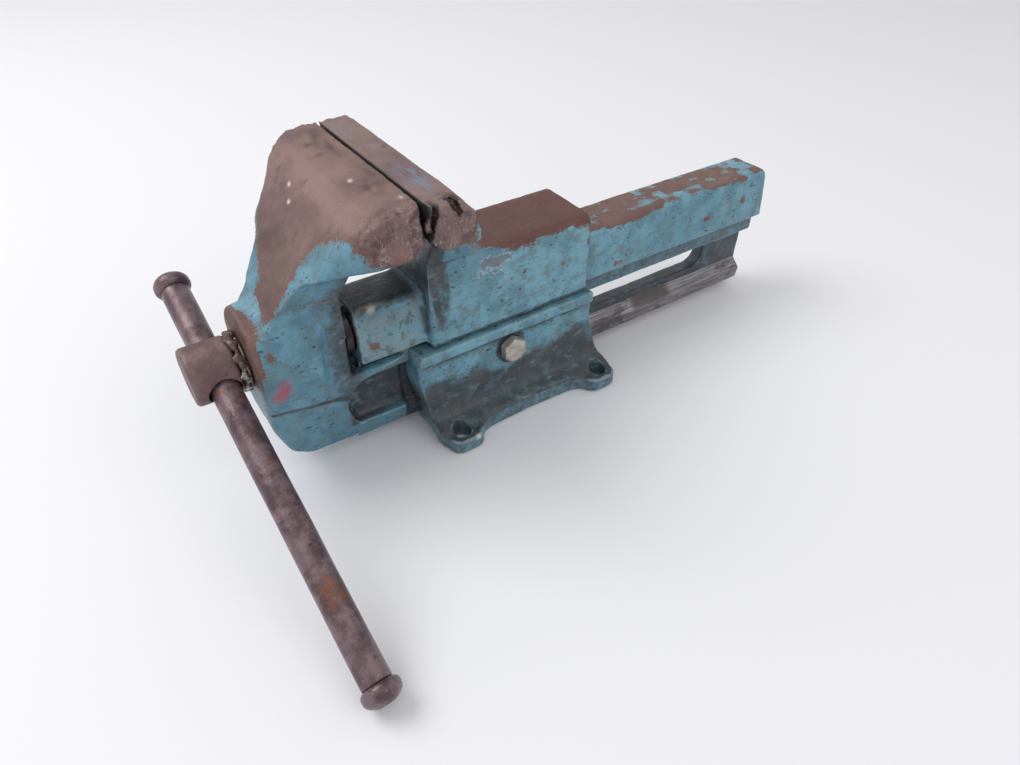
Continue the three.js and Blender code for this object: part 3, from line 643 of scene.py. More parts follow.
def mark_front_jaw(piece, verts, normals):
    x, y, z = verts.T
    flank = ramp(np.abs(normals[:, 1]), 0.6, 0.9)
    boss_end = ramp(-normals[:, 0], 0.6, 0.9) * fall(x, -199, -196)
    web = ramp(x, ARM_REAR - 6, ARM_REAR + 4)
    # Painted shade in the gap behind the arm, where the slide goes into the base.
    behind_arm_shade = ramp(x, ARM_REAR - 2, ARM_REAR + 1) * fall(x, -84, -78)
    store_marks(
        piece,
        rust=front_jaw_rust(verts, flank, boss_end),
        grime=front_jaw_grime_and_shade(verts, normals, flank, web) + 0.4 * boss_end + behind_arm_shade,
        bare=web * fall(z, 29, 33) * (1 - behind_arm_shade),
        shade=web,
        beaten=near_end(verts),
        red=spots(verts, (0.8, (-191.5, -31, 91), (8, 12, 10)), (0.7, (-186, -31, 100), (6, 12, 10))),
        seam=seam_shade(verts, normals, 1),
        smudge=front_jaw_smudges(verts),
        bright=front_jaw_chips(verts),
    )


def front_jaw_rust(verts, flank, boss_end):
    """Bare over the head and down the middle of the front face, and round the boss."""
    x, y, z = verts.T
    bare_head = [
        (-90, 168), (-79, 176), (-73, 192), (-66, 205), (-52, 201), (-38, 192),
        (-29, 179), (-27, 152), (-22, 122), (-2, 122), (6, 140), (9, 157),
        (30, 166), (52, 186), (90, 190), (90, 240), (-90, 240),
    ]
    head = region(y, z, bare_head, 14) * (1 - 0.5 * flank * fall(z, 138, 150))
    boss_rim = fall(x, -198, -192) * ramp(np.hypot(y, z - AXIS_Z), 25, 33) * ramp(z, 98, 116)
    boss = np.maximum(boss_rim, boss_end * ramp(z, 84, 104))
    beside_boss = spot(verts, (-190, -29, 121), (9, 10, 8))
    blue_island = spot(verts, (-188, -5, 141), (7, 16, 11))
    return np.maximum(head, 0.66 * np.maximum(boss, beside_boss)) * (1 - 0.8 * blue_island)


def front_jaw_grime_and_shade(verts, normals, flank, web):
    """Painted shade round the throat, along the arm's crease, in and under the slot, in the recesses and
    under the grip; the slide's web darker, partly dirt and partly painted shade; and darker at two corners.
    """
    x, y, z = verts.T
    # Painted shade along the throat's inner curve.
    throat = scored(x, z, [(NECK_REAR, 60), (NECK_REAR, 147), (-130, 164), (-117, 179), (-100, 193)], 13)
    # Painted shade along the crease on the arm's side.
    crease = scored(x, z, [(-198, 72), (-189, 71), (-176, 68), (-156, 65), (-142, 61)], 1.7) * flank
    # Painted shade in and under the slot.
    under_slot_shade = web * fall(z, 37, 44)
    slot_wall_shade = web * fall(np.abs(y), WEB_HALF - 2.0, WEB_HALF - 0.6) * ramp(z, 32, 36)
    # Painted shade in the recesses of the arm.
    recess = fall(np.abs(y), 20.5, 24.5) * ramp(x, -146, -140) * ramp(z, 26, 30) * fall(z, 76, 80)
    # Painted shade under the grip, on faces that look down.
    under_grip_shade = ramp(-normals[:, 2], 0.2, 0.6) * ramp(x, -132, -120) * ramp(z, 150, 165)
    corners = spots(verts, (0.4, (-176, -24, 18), (26, 12, 7)), (0.3, (-147, -27, 100), (7, 9, 45)))
    slide = 0.55 * web + 0.5 * under_slot_shade + 1.3 * slot_wall_shade
    return 0.78 * throat + 1.1 * crease + slide + 0.95 * recess + 0.9 * under_grip_shade + corners


def front_jaw_smudges(verts):
    """Dark handling marks on the jaw's top, the purple lower face, and a stain on the rail."""
    x, y, z = verts.T
    chain = spots(
        verts,
        (1, (-109, 56, 221), (5, 9, 9)),
        (1, (-115, 42, 219), (6, 6, 9)),
        (1, (-108, 30, 221), (3, 12, 9)),
        (1, (-112, -38, 220), (6, 9, 9)),
        (1, (-104, -22, 221), (3, 10, 9)),
        (1, (-118, 68, 218), (5, 6, 8)),
    )
    chain = np.clip(chain * (0.8 + 0.5 * waves(verts, 9, 28)), 0, 1)
    purple = spot(verts, (-158, 16, 179), (18, 30, 20)) * (1 + 0.4 * waves(verts, 17, 31))
    lower_face = fall(z, 160, 196) * ramp(z, 118, 130)
    rail_stain = ramp(x, 140, 148) * fall(x, 186, 196) * ramp(z + 0.4 * y, 12, 20)
    return 0.75 * chain + 0.34 * purple + 0.42 * lower_face + 0.8 * rail_stain


def front_jaw_chips(verts):
    """Small bright chips down to clean steel."""
    places = [(-118, -22, 219), (-141, 23, 205), (-146, 14.5, 198), (-106, -70, 216), (-104, -60, 221)]
    return spots(verts, *[(1.2, place, (1.2, 1.7, 1.5)) for place in places])


def mark_rear_jaw(piece, verts, normals):
    x, y, z = verts.T
    on_nose = fall(x, -84, -78)
    rubbed = spot(verts, (-20, -31, 132), (16, 9, 12)) * (0.8 + 0.35 * waves(verts, 12, 26))
    inside = ramp(normals[:, 1], -0.75, -0.3)
    # Painted shade on the inner faces of the tears at the near end.
    tear_shade = spots(verts, (1.3, (-93, -77, 209), (3, 6, 13)), (1.3, (-79.5, -75, 215), (5, 6, 8))) * inside
    line = scored(x, z, [(-76, 198), (-76, 213)], 1.6) * fall(y, -70, -60)
    anvil = ramp(x, -48, -34) * fall(x, 66, 70) * ramp(z, 138, 143)
    # A painted glint on the top front edge of the nose.
    nose_glint = spot(verts, (-116, -19, 124.5), (8, 3.5, 3)) * np.clip(0.4 + waves(verts, 7, 25), 0, 1)
    store_marks(
        piece,
        rust=rear_jaw_rust(verts),
        grime=rear_jaw_grime_and_shade(verts, on_nose),
        dusty=on_nose * fall(z, 112, 122) * ramp(np.abs(normals[:, 1]), 0.4, 0.8),
        worn=rubbed,
        beaten=near_end(verts),
        blue=spots(verts, (1, (-84.5, -40, 221), (6, 20, 8)), (0.6, (-92, 50, 221), (4, 12, 8))),
        seam=seam_shade(verts, normals, -1) + tear_shade,
        deep=np.maximum(0.95 * anvil, 0.35 * ramp(x, 68, 72)),
        smudge=0.35 * line + 0.9 * spot(verts, (-79.5, -76, 215), (2.6, 6, 6)),
        bright=0.7 * nose_glint + 0.7 * spot(verts, (-90, -78, 220), (2, 1.5, 1.5)),
    )


def rear_jaw_rust(verts):
    """Bare over the jaw and the anvil, patchy along the beam's top, with small patches on the side."""
    x, y, z = verts.T
    bare_top = [
        (-120, 186), (-68, 187), (-62, 200), (-52, 172), (-40, 152), (-15, 145),
        (-4, 141), (8, 140), (20, 143), (50, 143), (64, 140), (72, 130),
        (74, 160), (-30, 170), (-50, 240), (-120, 240),
    ]
    lift = 1.6 * waves(verts, 46, 21) + 0.9 * waves(verts, 13, 22)
    patchy = 0.1 * waves(verts * (1, 2.2, 1), 52, 23) + 0.1 * waves(verts * (0.6, 1, 1), 12, 33)
    beam_top = ramp(x, 70, 78) * ramp(z - lift, 118, 128) * (0.61 + 0.08 * fall(y, -17, -8) - patchy)
    patches = spots(
        verts,
        (0.84, (212, -23, 101), (19, 9, 6)),
        (0.84, (257, -22, 106), (7, 9, 11)),
        (0.8, (107, -25, 90), (13, 9, 5)),
        (0.8, (42, -31, 114), (5, 6, 5)),
        (0.9, (67, -30, 128), (3.5, 9, 13)),
        (0.9, (-118, -25, 96), (7, 9, 7)),
    )
    top = np.maximum(region(x, z, bare_top, 10), beam_top)
    return np.maximum(top, 0.66 * np.clip(patches, 0, 1))


def rear_jaw_grime_and_shade(verts, on_nose):
    """Dirt on the nose and on the block's front half, painted shade under its head and on the beam's lips
    below it, and a dark joint along the lower edge.
    """
    x, y, z = verts.T
    nose = 0.85 * on_nose * ramp(z, 118, 125) + 0.2 * on_nose * fall(x, -128, -112)
    front = fall(x, -76, -46) * ramp(z, 84, 100) * fall(z, 178, 192) * (1 - on_nose * fall(z, 130, 138))
    runs = fall(x, -54, -44) * ramp(x, -78, -72) * np.clip(waves(verts * (1, 1, 0.16), 11, 24), 0, 1)
    runs = runs * fall(z, 160, 182) * ramp(z, 88, 100) * ramp(np.abs(y), 20, 27)
    # Painted shade under the head.
    under_head_shade = fall(x, -70, -62) * ramp(z, 128, 144) * fall(z, 190, 194)
    joint = fall(z, BASE_TOP + 1, BASE_TOP + 4) * ramp(np.abs(y), 24, 29)
    # Painted shade on the lips under the beam.
    lips = fall(z, 83, 84.5)
    return nose + 0.42 * front + 0.5 * runs + 1.2 * under_head_shade + 0.7 * joint + 0.62 * lips


def mark_base(piece, verts, normals):
    """Dirt on the flared feet, darker under the rim, dark along the joint, and a painted shadow round the
    cross bolt.
    """
    x, y, z = verts.T
    lift = 5 * waves(verts, 30, 27)
    upward = ramp(normals[:, 2], 0.15, 0.5) + ramp(z, 14, 18)
    flare = fall(z - lift, 32, 54) * (0.3 + 0.7 * ramp(x, -92, -84)) * np.clip(upward, 0.42, 1)
    under_rim = ramp(z, 58, 64) * fall(z, 67, 69)
    joint = ramp(z, BASE_TOP - 2, BASE_TOP - 0.5) * fall(np.abs(y), BLOCK_HALF, BLOCK_HALF + 3)
    bolt_x, bolt_z = bolt_axis()
    # Painted shadow of the bolt head in its spot face.
    bolt_shadow = fall(np.hypot(x - bolt_x, z - bolt_z), 12.5, 15.5) * ramp(np.abs(y), 20, 30)
    store_marks(
        piece,
        rust=spots(verts, (0.5, (-68, -35, 60), (6, 9, 9))),
        grime=0.98 * flare + 0.42 * under_rim + 0.2 * fall(z, 46, 62) + 0.75 * bolt_shadow + 0.8 * joint,
        bright=spot(verts, (-60, -66, 11), (2, 2, 2)),
    )


# ---------------------------------------------------------------- materials
def srgb(*levels):
    """Linear colour from 0 to 255 screen levels."""
    parts = [level / 255 for level in levels]
    return tuple(c / 12.92 if c <= 0.04045 else ((c + 0.055) / 1.055) ** 2.4 for c in parts)


class Shader:
    """Short names for the nodes of one procedural material."""

    def __init__(self, name):
        self.material = bpy.data.materials.new(name)
        self.material.use_nodes = True
        self.tree = self.material.node_tree
        self.place = self.node("TexCoord", {}).outputs["Object"]
        self.count = 0

    def node(self, kind, inputs, **settings):
        """A new node: its settings are made first, and then its inputs are plugged in."""
        node = self.tree.nodes.new("ShaderNode" + kind)
        for name, value in settings.items():
            setattr(node, name, value)
        for key, value in inputs.items():
            self.plug(node.inputs[key], value)
        return node

    def plug(self, socket, value):
        if isinstance(value, bpy.types.NodeSocket):
            self.tree.links.new(value, socket)
        elif isinstance(value, tuple) and len(value) < len(socket.default_value):
            socket.default_value = (*value, 1)
        else:
            socket.default_value = value

    def math(self, operation, a, b=0.0, clamp=False):
        return self.node("Math", {0: a, 1: b}, operation=operation, use_clamp=clamp).outputs[0]

    def add(self, a, b):
        return self.math("ADD", a, b)

    def times(self, a, b):
        return self.math("MULTIPLY", a, b)

    def less(self, a, b):
        return self.math("SUBTRACT", a, b)

    def most(self, a, b):
        return self.math("MAXIMUM", a, b)

    def without(self, a, b):
        return self.times(a, self.less(1.0, b))

    def about(self, value, amount):
        """How far a noise is from its middle, times an amount."""
        return self.times(self.less(value, 0.5), amount)

    def placed(self, size, stretch, shift):
        """Where a texture is read: in features of a size in mm, moved on with each texture."""
        self.count += 1
        inputs = {
            "Vector": self.place,
            "Location": tuple(part * self.count for part in shift),
            "Scale": tuple(M_TO_MM / size / part for part in stretch),
        }
        return self.node("Mapping", inputs).outputs[0]

    def noise(self, size, detail=4.0, rough=0.55, stretch=(1, 1, 1), twist=0.0):
        """Cloudy noise about 0.5; size is the feature size in mm, longer along an axis by its stretch."""
        place = self.placed(size, stretch, (3.1, 1.7, 2.3))
        inputs = {"Vector": place, "Scale": 1.0, "Detail": detail, "Roughness": rough, "Distortion": twist}
        return self.node("TexNoise", inputs).outputs["Fac"]

    def cells(self, size, stretch):
        """Distance from scattered points, for pits; size is their spacing in mm."""
        place = self.placed(size, stretch, (1.9, 2.9, 1.3))
        return self.node("TexVoronoi", {"Vector": place, "Scale": 1.0}).outputs["Distance"]

    def step(self, value, low, high):
        """0 below low and 1 above high."""
        inputs = {"Value": value, "From Min": low, "From Max": high}
        return self.node("MapRange", inputs, interpolation_type="SMOOTHSTEP").outputs["Result"]

    def spread(self, value, low, high):
        """Maps 0..1 to low..high."""
        return self.add(self.times(value, high - low), low)

    def mix(self, amount, a, b):
        return self.node("Mix", {0: amount, 6: a, 7: b}, data_type="RGBA").outputs[2]

    def tint(self, color, tone, amount, value, low, high):
        """A colour with an amount of a tone over it where a value steps up."""
        return self.mix(self.times(self.step(value, low, high), amount), color, tone)

    def mask(self, name):
        return self.node("Attribute", {}, attribute_name=name).outputs["Fac"]

    def bump(self, height, depth_mm, under=None):
        inputs = {"Strength": 1.0, "Distance": depth_mm / M_TO_MM, "Height": height}
        if under is not None:
            inputs["Normal"] = under
        return self.node("Bump", inputs).outputs["Normal"]

    def finish(self, color, roughness, metallic, normal):
        surface = self.tree.nodes["Principled BSDF"]
        self.plug(surface.inputs["Base Color"], color)
        self.plug(surface.inputs["Roughness"], roughness)
        self.plug(surface.inputs["Metallic"], metallic)
        self.plug(surface.inputs["Normal"], normal)
        return self.material


PAINT_TONES = (srgb(94, 142, 161), srgb(112, 161, 180), srgb(68, 113, 135))
FRONT_PAINT_TONES = (srgb(82, 129, 149), srgb(98, 148, 169), srgb(58, 100, 124))
PAINT_DULL = srgb(98, 122, 128)
PAINT_SOILED = srgb(92, 112, 112)
# Pale of rubbed edges, partly real wear and partly a painted highlight.
PAINT_RUBBED_AND_SHEEN = srgb(140, 170, 180)
PRIMER_GREY = srgb(112, 106, 114)
PRIMER_PALE = srgb(178, 192, 196)
RUST_TONES = (srgb(136, 108, 103), srgb(114, 88, 88), srgb(130, 95, 85))
REAR_RUST_TONES = (srgb(134, 110, 106), srgb(114, 90, 90), srgb(126, 94, 84))
RUST_PURPLE = srgb(106, 88, 90)
RUST_WARM = srgb(122, 90, 78)
RUST_BORDER = srgb(108, 78, 64)
RUST_DARK = srgb(66, 48, 46)
RUST_DEEP = srgb(96, 62, 58)
RUST_DUSTY = srgb(176, 160, 154)
RUST_BRUISE = srgb(78, 58, 64)
RUST_SCRATCH = srgb(196, 186, 184)
# Dark tones of grime, also laid on as painted shade in throats, slots, recesses, hollows and under
# overhangs; the brown also stains the nose.
GRIME_AND_SHADE_DARK = srgb(38, 40, 44)
GRIME_AND_SHADE_BROWN = srgb(64, 60, 61)
GRIME_SCUFF = srgb(116, 128, 134)
GRIME_THIN = srgb(76, 100, 112)
DUST = srgb(138, 146, 146)
# Black of pits and chips, also used as painted shade in the seam and the tears.
PIT_AND_SHADE_BLACK = srgb(28, 30, 32)
STEEL_PALE = srgb(150, 146, 150)
STEEL_DULL = srgb(100, 96, 100)
STEEL_BROWN = srgb(74, 66, 65)
# Clean steel of bright chips, also used for a painted glint on the nose.
BRIGHT_STEEL_AND_GLINT = srgb(214, 212, 206)
RED_MARK = srgb(170, 64, 76)
BLUE_TRANSFER = srgb(112, 134, 164)


class Weathered(Shader):
    """Old blue paint over forged steel, layer by layer."""

    def __init__(self, name, paint_tones=PAINT_TONES, rust_tones=RUST_TONES):
        super().__init__(name)
        self.paint_tones = paint_tones
        self.rust_tones = rust_tones
        self.broad = self.noise(70, 3)
        self.cloudy = self.noise(17, 4, 0.6)
        self.ragged = self.noise(6, 5, 0.65)
        self.fine = self.noise(1.6, 4, 0.6)
        self.grain = self.noise(0.6, 2, 0.6)
        self.streaks = self.noise(2.2, 4, 0.7, (2.6, 1.4, 1))
        self.brushed = self.noise(2.0, 3, 0.6, (9, 1, 1))

    def torn(self, value, tear=1.0):
        """A mask with its border made ragged by noise."""
        return self.add(value, self.about(self.ragged, tear))

    def paint(self):
        middle, light, deep = self.paint_tones
        color = self.mix(self.step(self.broad, 0.38, 0.6), middle, light)
        color = self.tint(color, deep, 0.6, self.cloudy, 0.42, 0.66)
        color = self.tint(color, PAINT_DULL, 0.4, self.brushed, 0.5, 0.68)
        color = self.tint(color, PAINT_SOILED, 0.7, self.noise(11, 5, 0.7), 0.47, 0.68)
        freckles = self.times(self.step(self.fine, 0.56, 0.66), self.step(self.ragged, 0.46, 0.6))
        return self.mix(self.times(freckles, 0.6), color, RUST_WARM)

    def chips(self):
        """Flakes in patches, fine specks and pits."""
        zone = self.step(self.noise(24, 3), 0.44, 0.6)
        flakes = self.times(self.step(self.streaks, 0.61, 0.65), zone)
        specks = self.step(self.noise(1.3, 3, 0.6, (1.6, 1, 1)), 0.66, 0.7)
        flakes = self.most(flakes, self.times(specks, 0.8))
        nearness = self.less(1.0, self.cells(4.2, (1.8, 1, 1)))
        pits = self.times(self.step(nearness, 0.80, 0.9), self.step(self.cloudy, 0.45, 0.6))
        return self.most(flakes, pits)

    def grime_and_shade_tint(self, color):
        tone = self.mix(self.step(self.cloudy, 0.4, 0.6), GRIME_AND_SHADE_DARK, GRIME_AND_SHADE_BROWN)
        tone = self.tint(tone, GRIME_THIN, 0.5, self.noise(10, 4, 0.65), 0.52, 0.64)
        tone = self.tint(tone, GRIME_SCUFF, 0.6, self.noise(6, 4, 0.6, (2, 1, 1)), 0.56, 0.7)
        # Darker with dirt, and with painted shade where the marks put shade: round the throat, in slots and
        # recesses, under overhangs, and through the hollow mask in every hollow.
        soil_and_shade = self.add(self.torn(self.mask("grime")), self.times(self.mask("hollow"), 0.85))
        return self.tint(color, tone, 0.9, soil_and_shade, 0.2, 0.95)

    def edge_wear_and_sheen(self, color, rusty):
        """Outer edges: rubbed pale, partly real wear and partly a painted highlight, with brown steel in the
        deepest scuffs.
        """
        pale = self.step(self.torn(self.mask("edge"), 1.3), 0.45, 0.85)
        pale = self.without(self.without(pale, rusty), self.mask("shade"))
        color = self.mix(self.times(pale, 0.55), color, PAINT_RUBBED_AND_SHEEN)
        through = self.step(self.torn(self.mask("edge"), 1.9), 0.78, 0.9)
        through = self.times(through, self.step(self.noise(26, 3), 0.5, 0.62))
        return self.mix(self.times(self.without(through, rusty), 0.75), color, RUST_PURPLE)

    def rubbed_patch(self, color):
        """A patch worn down to grey with a pale rim of primer."""
        patch = self.torn(self.mask("worn"), 1.2)
        inside = self.step(patch, 0.52, 0.62)
        rim = self.times(self.without(self.step(patch, 0.34, 0.5), inside), 0.8)
        color = self.mix(self.times(inside, 0.7), color, PRIMER_GREY)
        return self.mix(self.times(rim, self.step(self.fine, 0.49, 0.58)), color, PRIMER_PALE)

    def dusted(self, color):
        """Grey dust and brown specks where the beam's nose pokes out."""
        where = self.mask("dusty")
        dust = self.times(where, self.step(self.cloudy, 0.3, 0.62))
        color = self.mix(self.times(dust, 0.55), color, DUST)
        stains = self.times(where, self.step(self.noise(6, 5, 0.7, (1, 1, 1.6)), 0.52, 0.62))
        return self.mix(self.times(stains, 0.6), color, GRIME_AND_SHADE_BROWN)

    def rust_cover(self):
        """Above about half where rust shows: the mask, streaked and clouded."""
        cover = self.torn(self.mask("rust"), 0.42)
        return self.add(self.add(cover, self.about(self.brushed, 0.34)), self.about(self.broad, 0.2))

    def rust(self, cover):
        pale, purple, warm = self.rust_tones
        color = self.mix(self.step(self.noise(34, 3, 0.5), 0.38, 0.66), pale, purple)
        color = self.tint(color, warm, 0.5, self.noise(12, 5, 0.65), 0.46, 0.68)
        color = self.tint(color, RUST_DARK, 0.45, self.noise(15, 3, 0.5), 0.6, 0.74)
        color = self.mix(self.mask("smudge"), color, RUST_DARK)
        color = self.mix(self.mask("deep"), color, RUST_DEEP)
        transfer = self.times(self.mask("blue"), self.step(self.noise(5, 4, 0.65, (0.5, 3, 1)), 0.42, 0.56))
        color = self.mix(self.times(transfer, 0.8), color, BLUE_TRANSFER)
        color = self.tint(color, RUST_DARK, 0.32, self.grain, 0.46, 0.72)
        color = self.tint(color, RUST_DUSTY, 0.22, self.fine, 0.6, 0.72)
        border = self.without(self.step(cover, 0.5, 0.54), self.step(cover, 0.54, 0.72))
        return self.beaten(self.mix(self.times(border, 0.7), color, RUST_BORDER))

    def beaten(self, color):
        """Bruises and crossing scratches on the hammered near ends of the jaws."""
        where = self.mask("beaten")
        bruises = self.times(self.step(self.noise(9, 4, 0.65), 0.5, 0.6), where)
        color = self.mix(self.times(bruises, 0.7), color, RUST_BRUISE)
        rubbed = self.times(self.step(self.noise(6, 4, 0.7), 0.56, 0.66), where)
        color = self.mix(self.times(rubbed, 0.45), color, RUST_DUSTY)
        upright = self.step(self.noise(1.3, 3, 0.6, (1, 1, 7), 1.6), 0.56, 0.68)
        across = self.step(self.noise(1.1, 3, 0.6, (6, 6, 1), 2.2), 0.58, 0.7)
        scratches = self.times(self.most(upright, across), self.step(self.noise(13, 3), 0.44, 0.6))
        return self.mix(self.times(self.times(scratches, where), 0.5), color, RUST_SCRATCH)

    def bare_steel(self):
        lines = self.noise(1.2, 3, 0.5, (30, 1, 1))
        tone = self.tint(STEEL_PALE, STEEL_DULL, 0.8, lines, 0.4, 0.6)
        stains = self.times(self.step(self.noise(14, 4, 0.65, (2, 1, 1)), 0.5, 0.64), 0.75)
        return self.mix(self.most(stains, self.mask("smudge")), tone, STEEL_BROWN)

    def build(self, red=False, worn=False):
        chips = self.chips()
        color = self.mix(self.times(chips, 0.82), self.paint(), PIT_AND_SHADE_BLACK)
        color = self.grime_and_shade_tint(color)
        if worn:
            color = self.rubbed_patch(self.dusted(color))
        if red:
            smear = self.add(self.mask("red"), self.about(self.cloudy, 0.35))
            color = self.tint(color, RED_MARK, 0.75, smear, 0.2, 1.0)
        cover = self.rust_cover()
        rusty = self.step(cover, 0.49, 0.54)
        halo = self.without(self.step(cover, 0.4, 0.5), rusty)
        color = self.mix(self.times(halo, self.step(self.fine, 0.42, 0.6)), color, RUST_BORDER)
        color = self.edge_wear_and_sheen(color, rusty)
        color = self.mix(rusty, color, self.rust(cover))
        steel = self.step(self.torn(self.mask("bare"), 0.5), 0.42, 0.58)
        color = self.mix(steel, color, self.bare_steel())
        # Painted shade down in the seam between the jaws and inside the tears.
        color = self.mix(self.times(self.mask("seam"), 0.9), color, PIT_AND_SHADE_BLACK)
        # Bright steel of chips, and a painted glint on the nose.
        color = self.mix(self.mask("bright"), color, BRIGHT_STEEL_AND_GLINT)
        metal = self.most(self.times(steel, 0.65), self.times(rusty, 0.22))
        return self.finish(color, self.dullness(rusty, steel), metal, self.relief(chips, rusty))

    def dullness(self, rusty, steel):
        """Roughness: paint is glossy in clouds, rust is duller, and the dirty and shaded places and the
        steel shine more.
        """
        rough = self.add(self.spread(self.cloudy, 0.3, 0.6), self.times(rusty, 0.12))
        greasy = self.times(self.most(self.mask("grime"), steel), 0.1)
        return self.math("SUBTRACT", rough, greasy, clamp=True)

    def relief(self, chips, rusty):
        """Forging texture, the edge of the paint film, and fine grain."""
        film = self.times(self.less(1.0, self.most(chips, rusty)), 0.6)
        normal = self.bump(self.ragged, 0.45)
        normal = self.bump(self.add(self.times(self.cloudy, 0.4), film), 0.3, normal)
        return self.bump(self.add(self.fine, self.grain), 0.16, normal)


# ---------------------------------------------------------------- turned pieces
def lathe(name, start, way, profile, sides=64, shape=None, ring=False):
    """Turns (t, r) points in mm about a line; shape(t, angle, r) may move the surface off the circle."""
    way = Vector(way).normalized()
    across = way.orthogonal() if abs(way.y) < 0.99 else Vector((1, 0, 0))
    across = (across - way * across.dot(way)).normalized()
    frame_axes = np.array([way, across, way.cross(across)])
    t, r = np.array(profile, float).T
    angle = np.arange(sides) * 2 * math.pi / sides
    t, r, angle = np.broadcast_arrays(t[:, None], r[:, None], angle[None, :])
    radius = r if shape is None else np.where(r > 0, shape(t, angle, r), 0)
    local = np.stack([t, radius * np.cos(angle), radius * np.sin(angle)], 2)
    verts = np.array(start) + local.reshape(-1, 3) @ frame_axes
    rows = len(profile)
    faces = []
    for i in range(rows if ring else rows - 1):
        for j in range(sides):
            a, b = i * sides + j, i * sides + (j + 1) % sides
            c, d = ((i + 1) % rows) * sides + (j + 1) % sides, ((i + 1) % rows) * sides + j
            faces.append((a, b, c, d))
    piece = new_object(name, verts, faces)
    joined = bmesh.new()
    joined.from_mesh(piece.data)
    bmesh.ops.remove_doubles(joined, verts=joined.verts, dist=1e-6)
    bmesh.ops.recalc_face_normals(joined, faces=joined.faces)
    joined.to_mesh(piece.data)
    joined.free()
    return piece


def ease(t0, r0, t1, r1, steps=5):
    """Quarter-round from (t0, r0) to (t1, r1), turning away from the axis first."""
    turn = np.linspace(0, math.pi / 2, steps)
    return [(t0 + (t1 - t0) * (1 - math.cos(a)), r0 + (r1 - r0) * math.sin(a)) for a in turn]


def ring_profile(t0, t1, inner, outer, edge):
    """Closed section of a flat ring with rounded outer edges."""
    lead = ease(t0, outer - edge, t0 + edge, outer)
    trail = [(t0 + t1 - t, r) for t, r in reversed(lead)]
    return [(t0, inner), *lead, *trail, (t1, inner)]


def ripple(amount, seed, along=14.0):
    """Hand-worn unevenness of a turned surface, inward only, in mm."""
    rng = np.random.default_rng(seed)
    terms = [(rng.integers(1, 5), rng.uniform(0.6, 1.6), rng.uniform(0, 6.28)) for _ in range(7)]

    def shape(t, angle, r):
        lumps = sum(np.sin(n * angle + pace * t / along + phase) for n, pace, phase in terms) / 5
        return r - amount * (1 + np.clip(lumps, -1, 1)) / 2

    return shape


def dress(piece, body, material, slot, *nodes):
    """Puts a visual piece on its body, in its material, in place of its CAD nodes."""
    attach(piece, body)
    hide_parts(*nodes)
    piece.data.materials.clear()
    piece.data.materials.append(material)


def bar_way():
    return Vector((
        math.sin(BAR_SKEW),
        -math.cos(BAR_DIP) * math.cos(BAR_SKEW),
        -math.sin(BAR_DIP) * math.cos(BAR_SKEW),
    ))


def on_bar(t):
    return Vector((BAR_X, 0, AXIS_Z)) + bar_way() * t


def tommy_bar():
    """Plain bar, slightly bruised, with reduced ends that the knobs are forged over."""
    start = KNOB_T / 2 - BAR_UPPER_REACH + 0.3
    end = BAR_LOWER_REACH - KNOB_T / 2 - 0.3
    spigot = KNOB_T - 2
    steps = np.linspace(start + 0.6, end - 0.6, 90)
    profile = [
        (start - spigot, 0), (start - spigot, SPIGOT_R - 1), (start - spigot + 1, SPIGOT_R),
        (start, SPIGOT_R), (start, BAR_R - 0.3), *[(t, BAR_R) for t in steps], (end, BAR_R - 0.3),
        (end, SPIGOT_R), (end + spigot - 1, SPIGOT_R), (end + spigot, SPIGOT_R - 1), (end + spigot, 0),
    ]
    return lathe("bar_shaft", on_bar(0), bar_way(), profile, 48, ripple(0.28, 31))


def bar_knob(name, t, outward):
    """Mushroomed knob: domed on its outer face and rolled over towards the bar."""
    half = KNOB_T / 2
    bore = SPIGOT_R + 0.3
    profile = [
        (-half, bore), (-half, BAR_R + 0.3), (-half + 0.8, KNOB_R - 1.6), (-half + 1.7, KNOB_R - 0.6),
        (-half + 2.8, KNOB_R - 0.1), (-half + 4.4, KNOB_R), (-half + 6.6, KNOB_R - 0.2),
        (-half + 8.4, KNOB_R - 1.1), (-half + 10, KNOB_R - 2.9), (-half + 11.2, KNOB_R - 5.2),
        (half, KNOB_R - 6.8), (half, bore),
    ]
    uneven = ripple(0.7, 37 + int(outward), 9)
    return lathe(name, on_bar(t), bar_way() * outward, profile, 48, uneven, ring=True)


def spindle_head():
    """Cylindrical head with rounded ends; the bar hole has a worn, drawn-out lip."""
    grid = Grid(HEAD_LOW, HEAD_HIGH, 0.6)
    radius = (HEAD_HIGH.z - HEAD_LOW.z) / 2
    body = rod_x(grid, radius - 0.2, HEAD_LOW.x, HEAD_HIGH.x, edge=3.4)
    way = bar_way()
    rx, ry, rz = grid.x - BAR_X, grid.y, grid.z - AXIS_Z
    along = rx * way.x + ry * way.y + rz * way.z
    away = np.sqrt(np.maximum(rx * rx + ry * ry + rz * rz - along * along, 0))
    hole = away - (BAR_R + 1.1)
    return forged("spindle_head_body", without(body, hole, 1.6), grid, 0.22)[0]


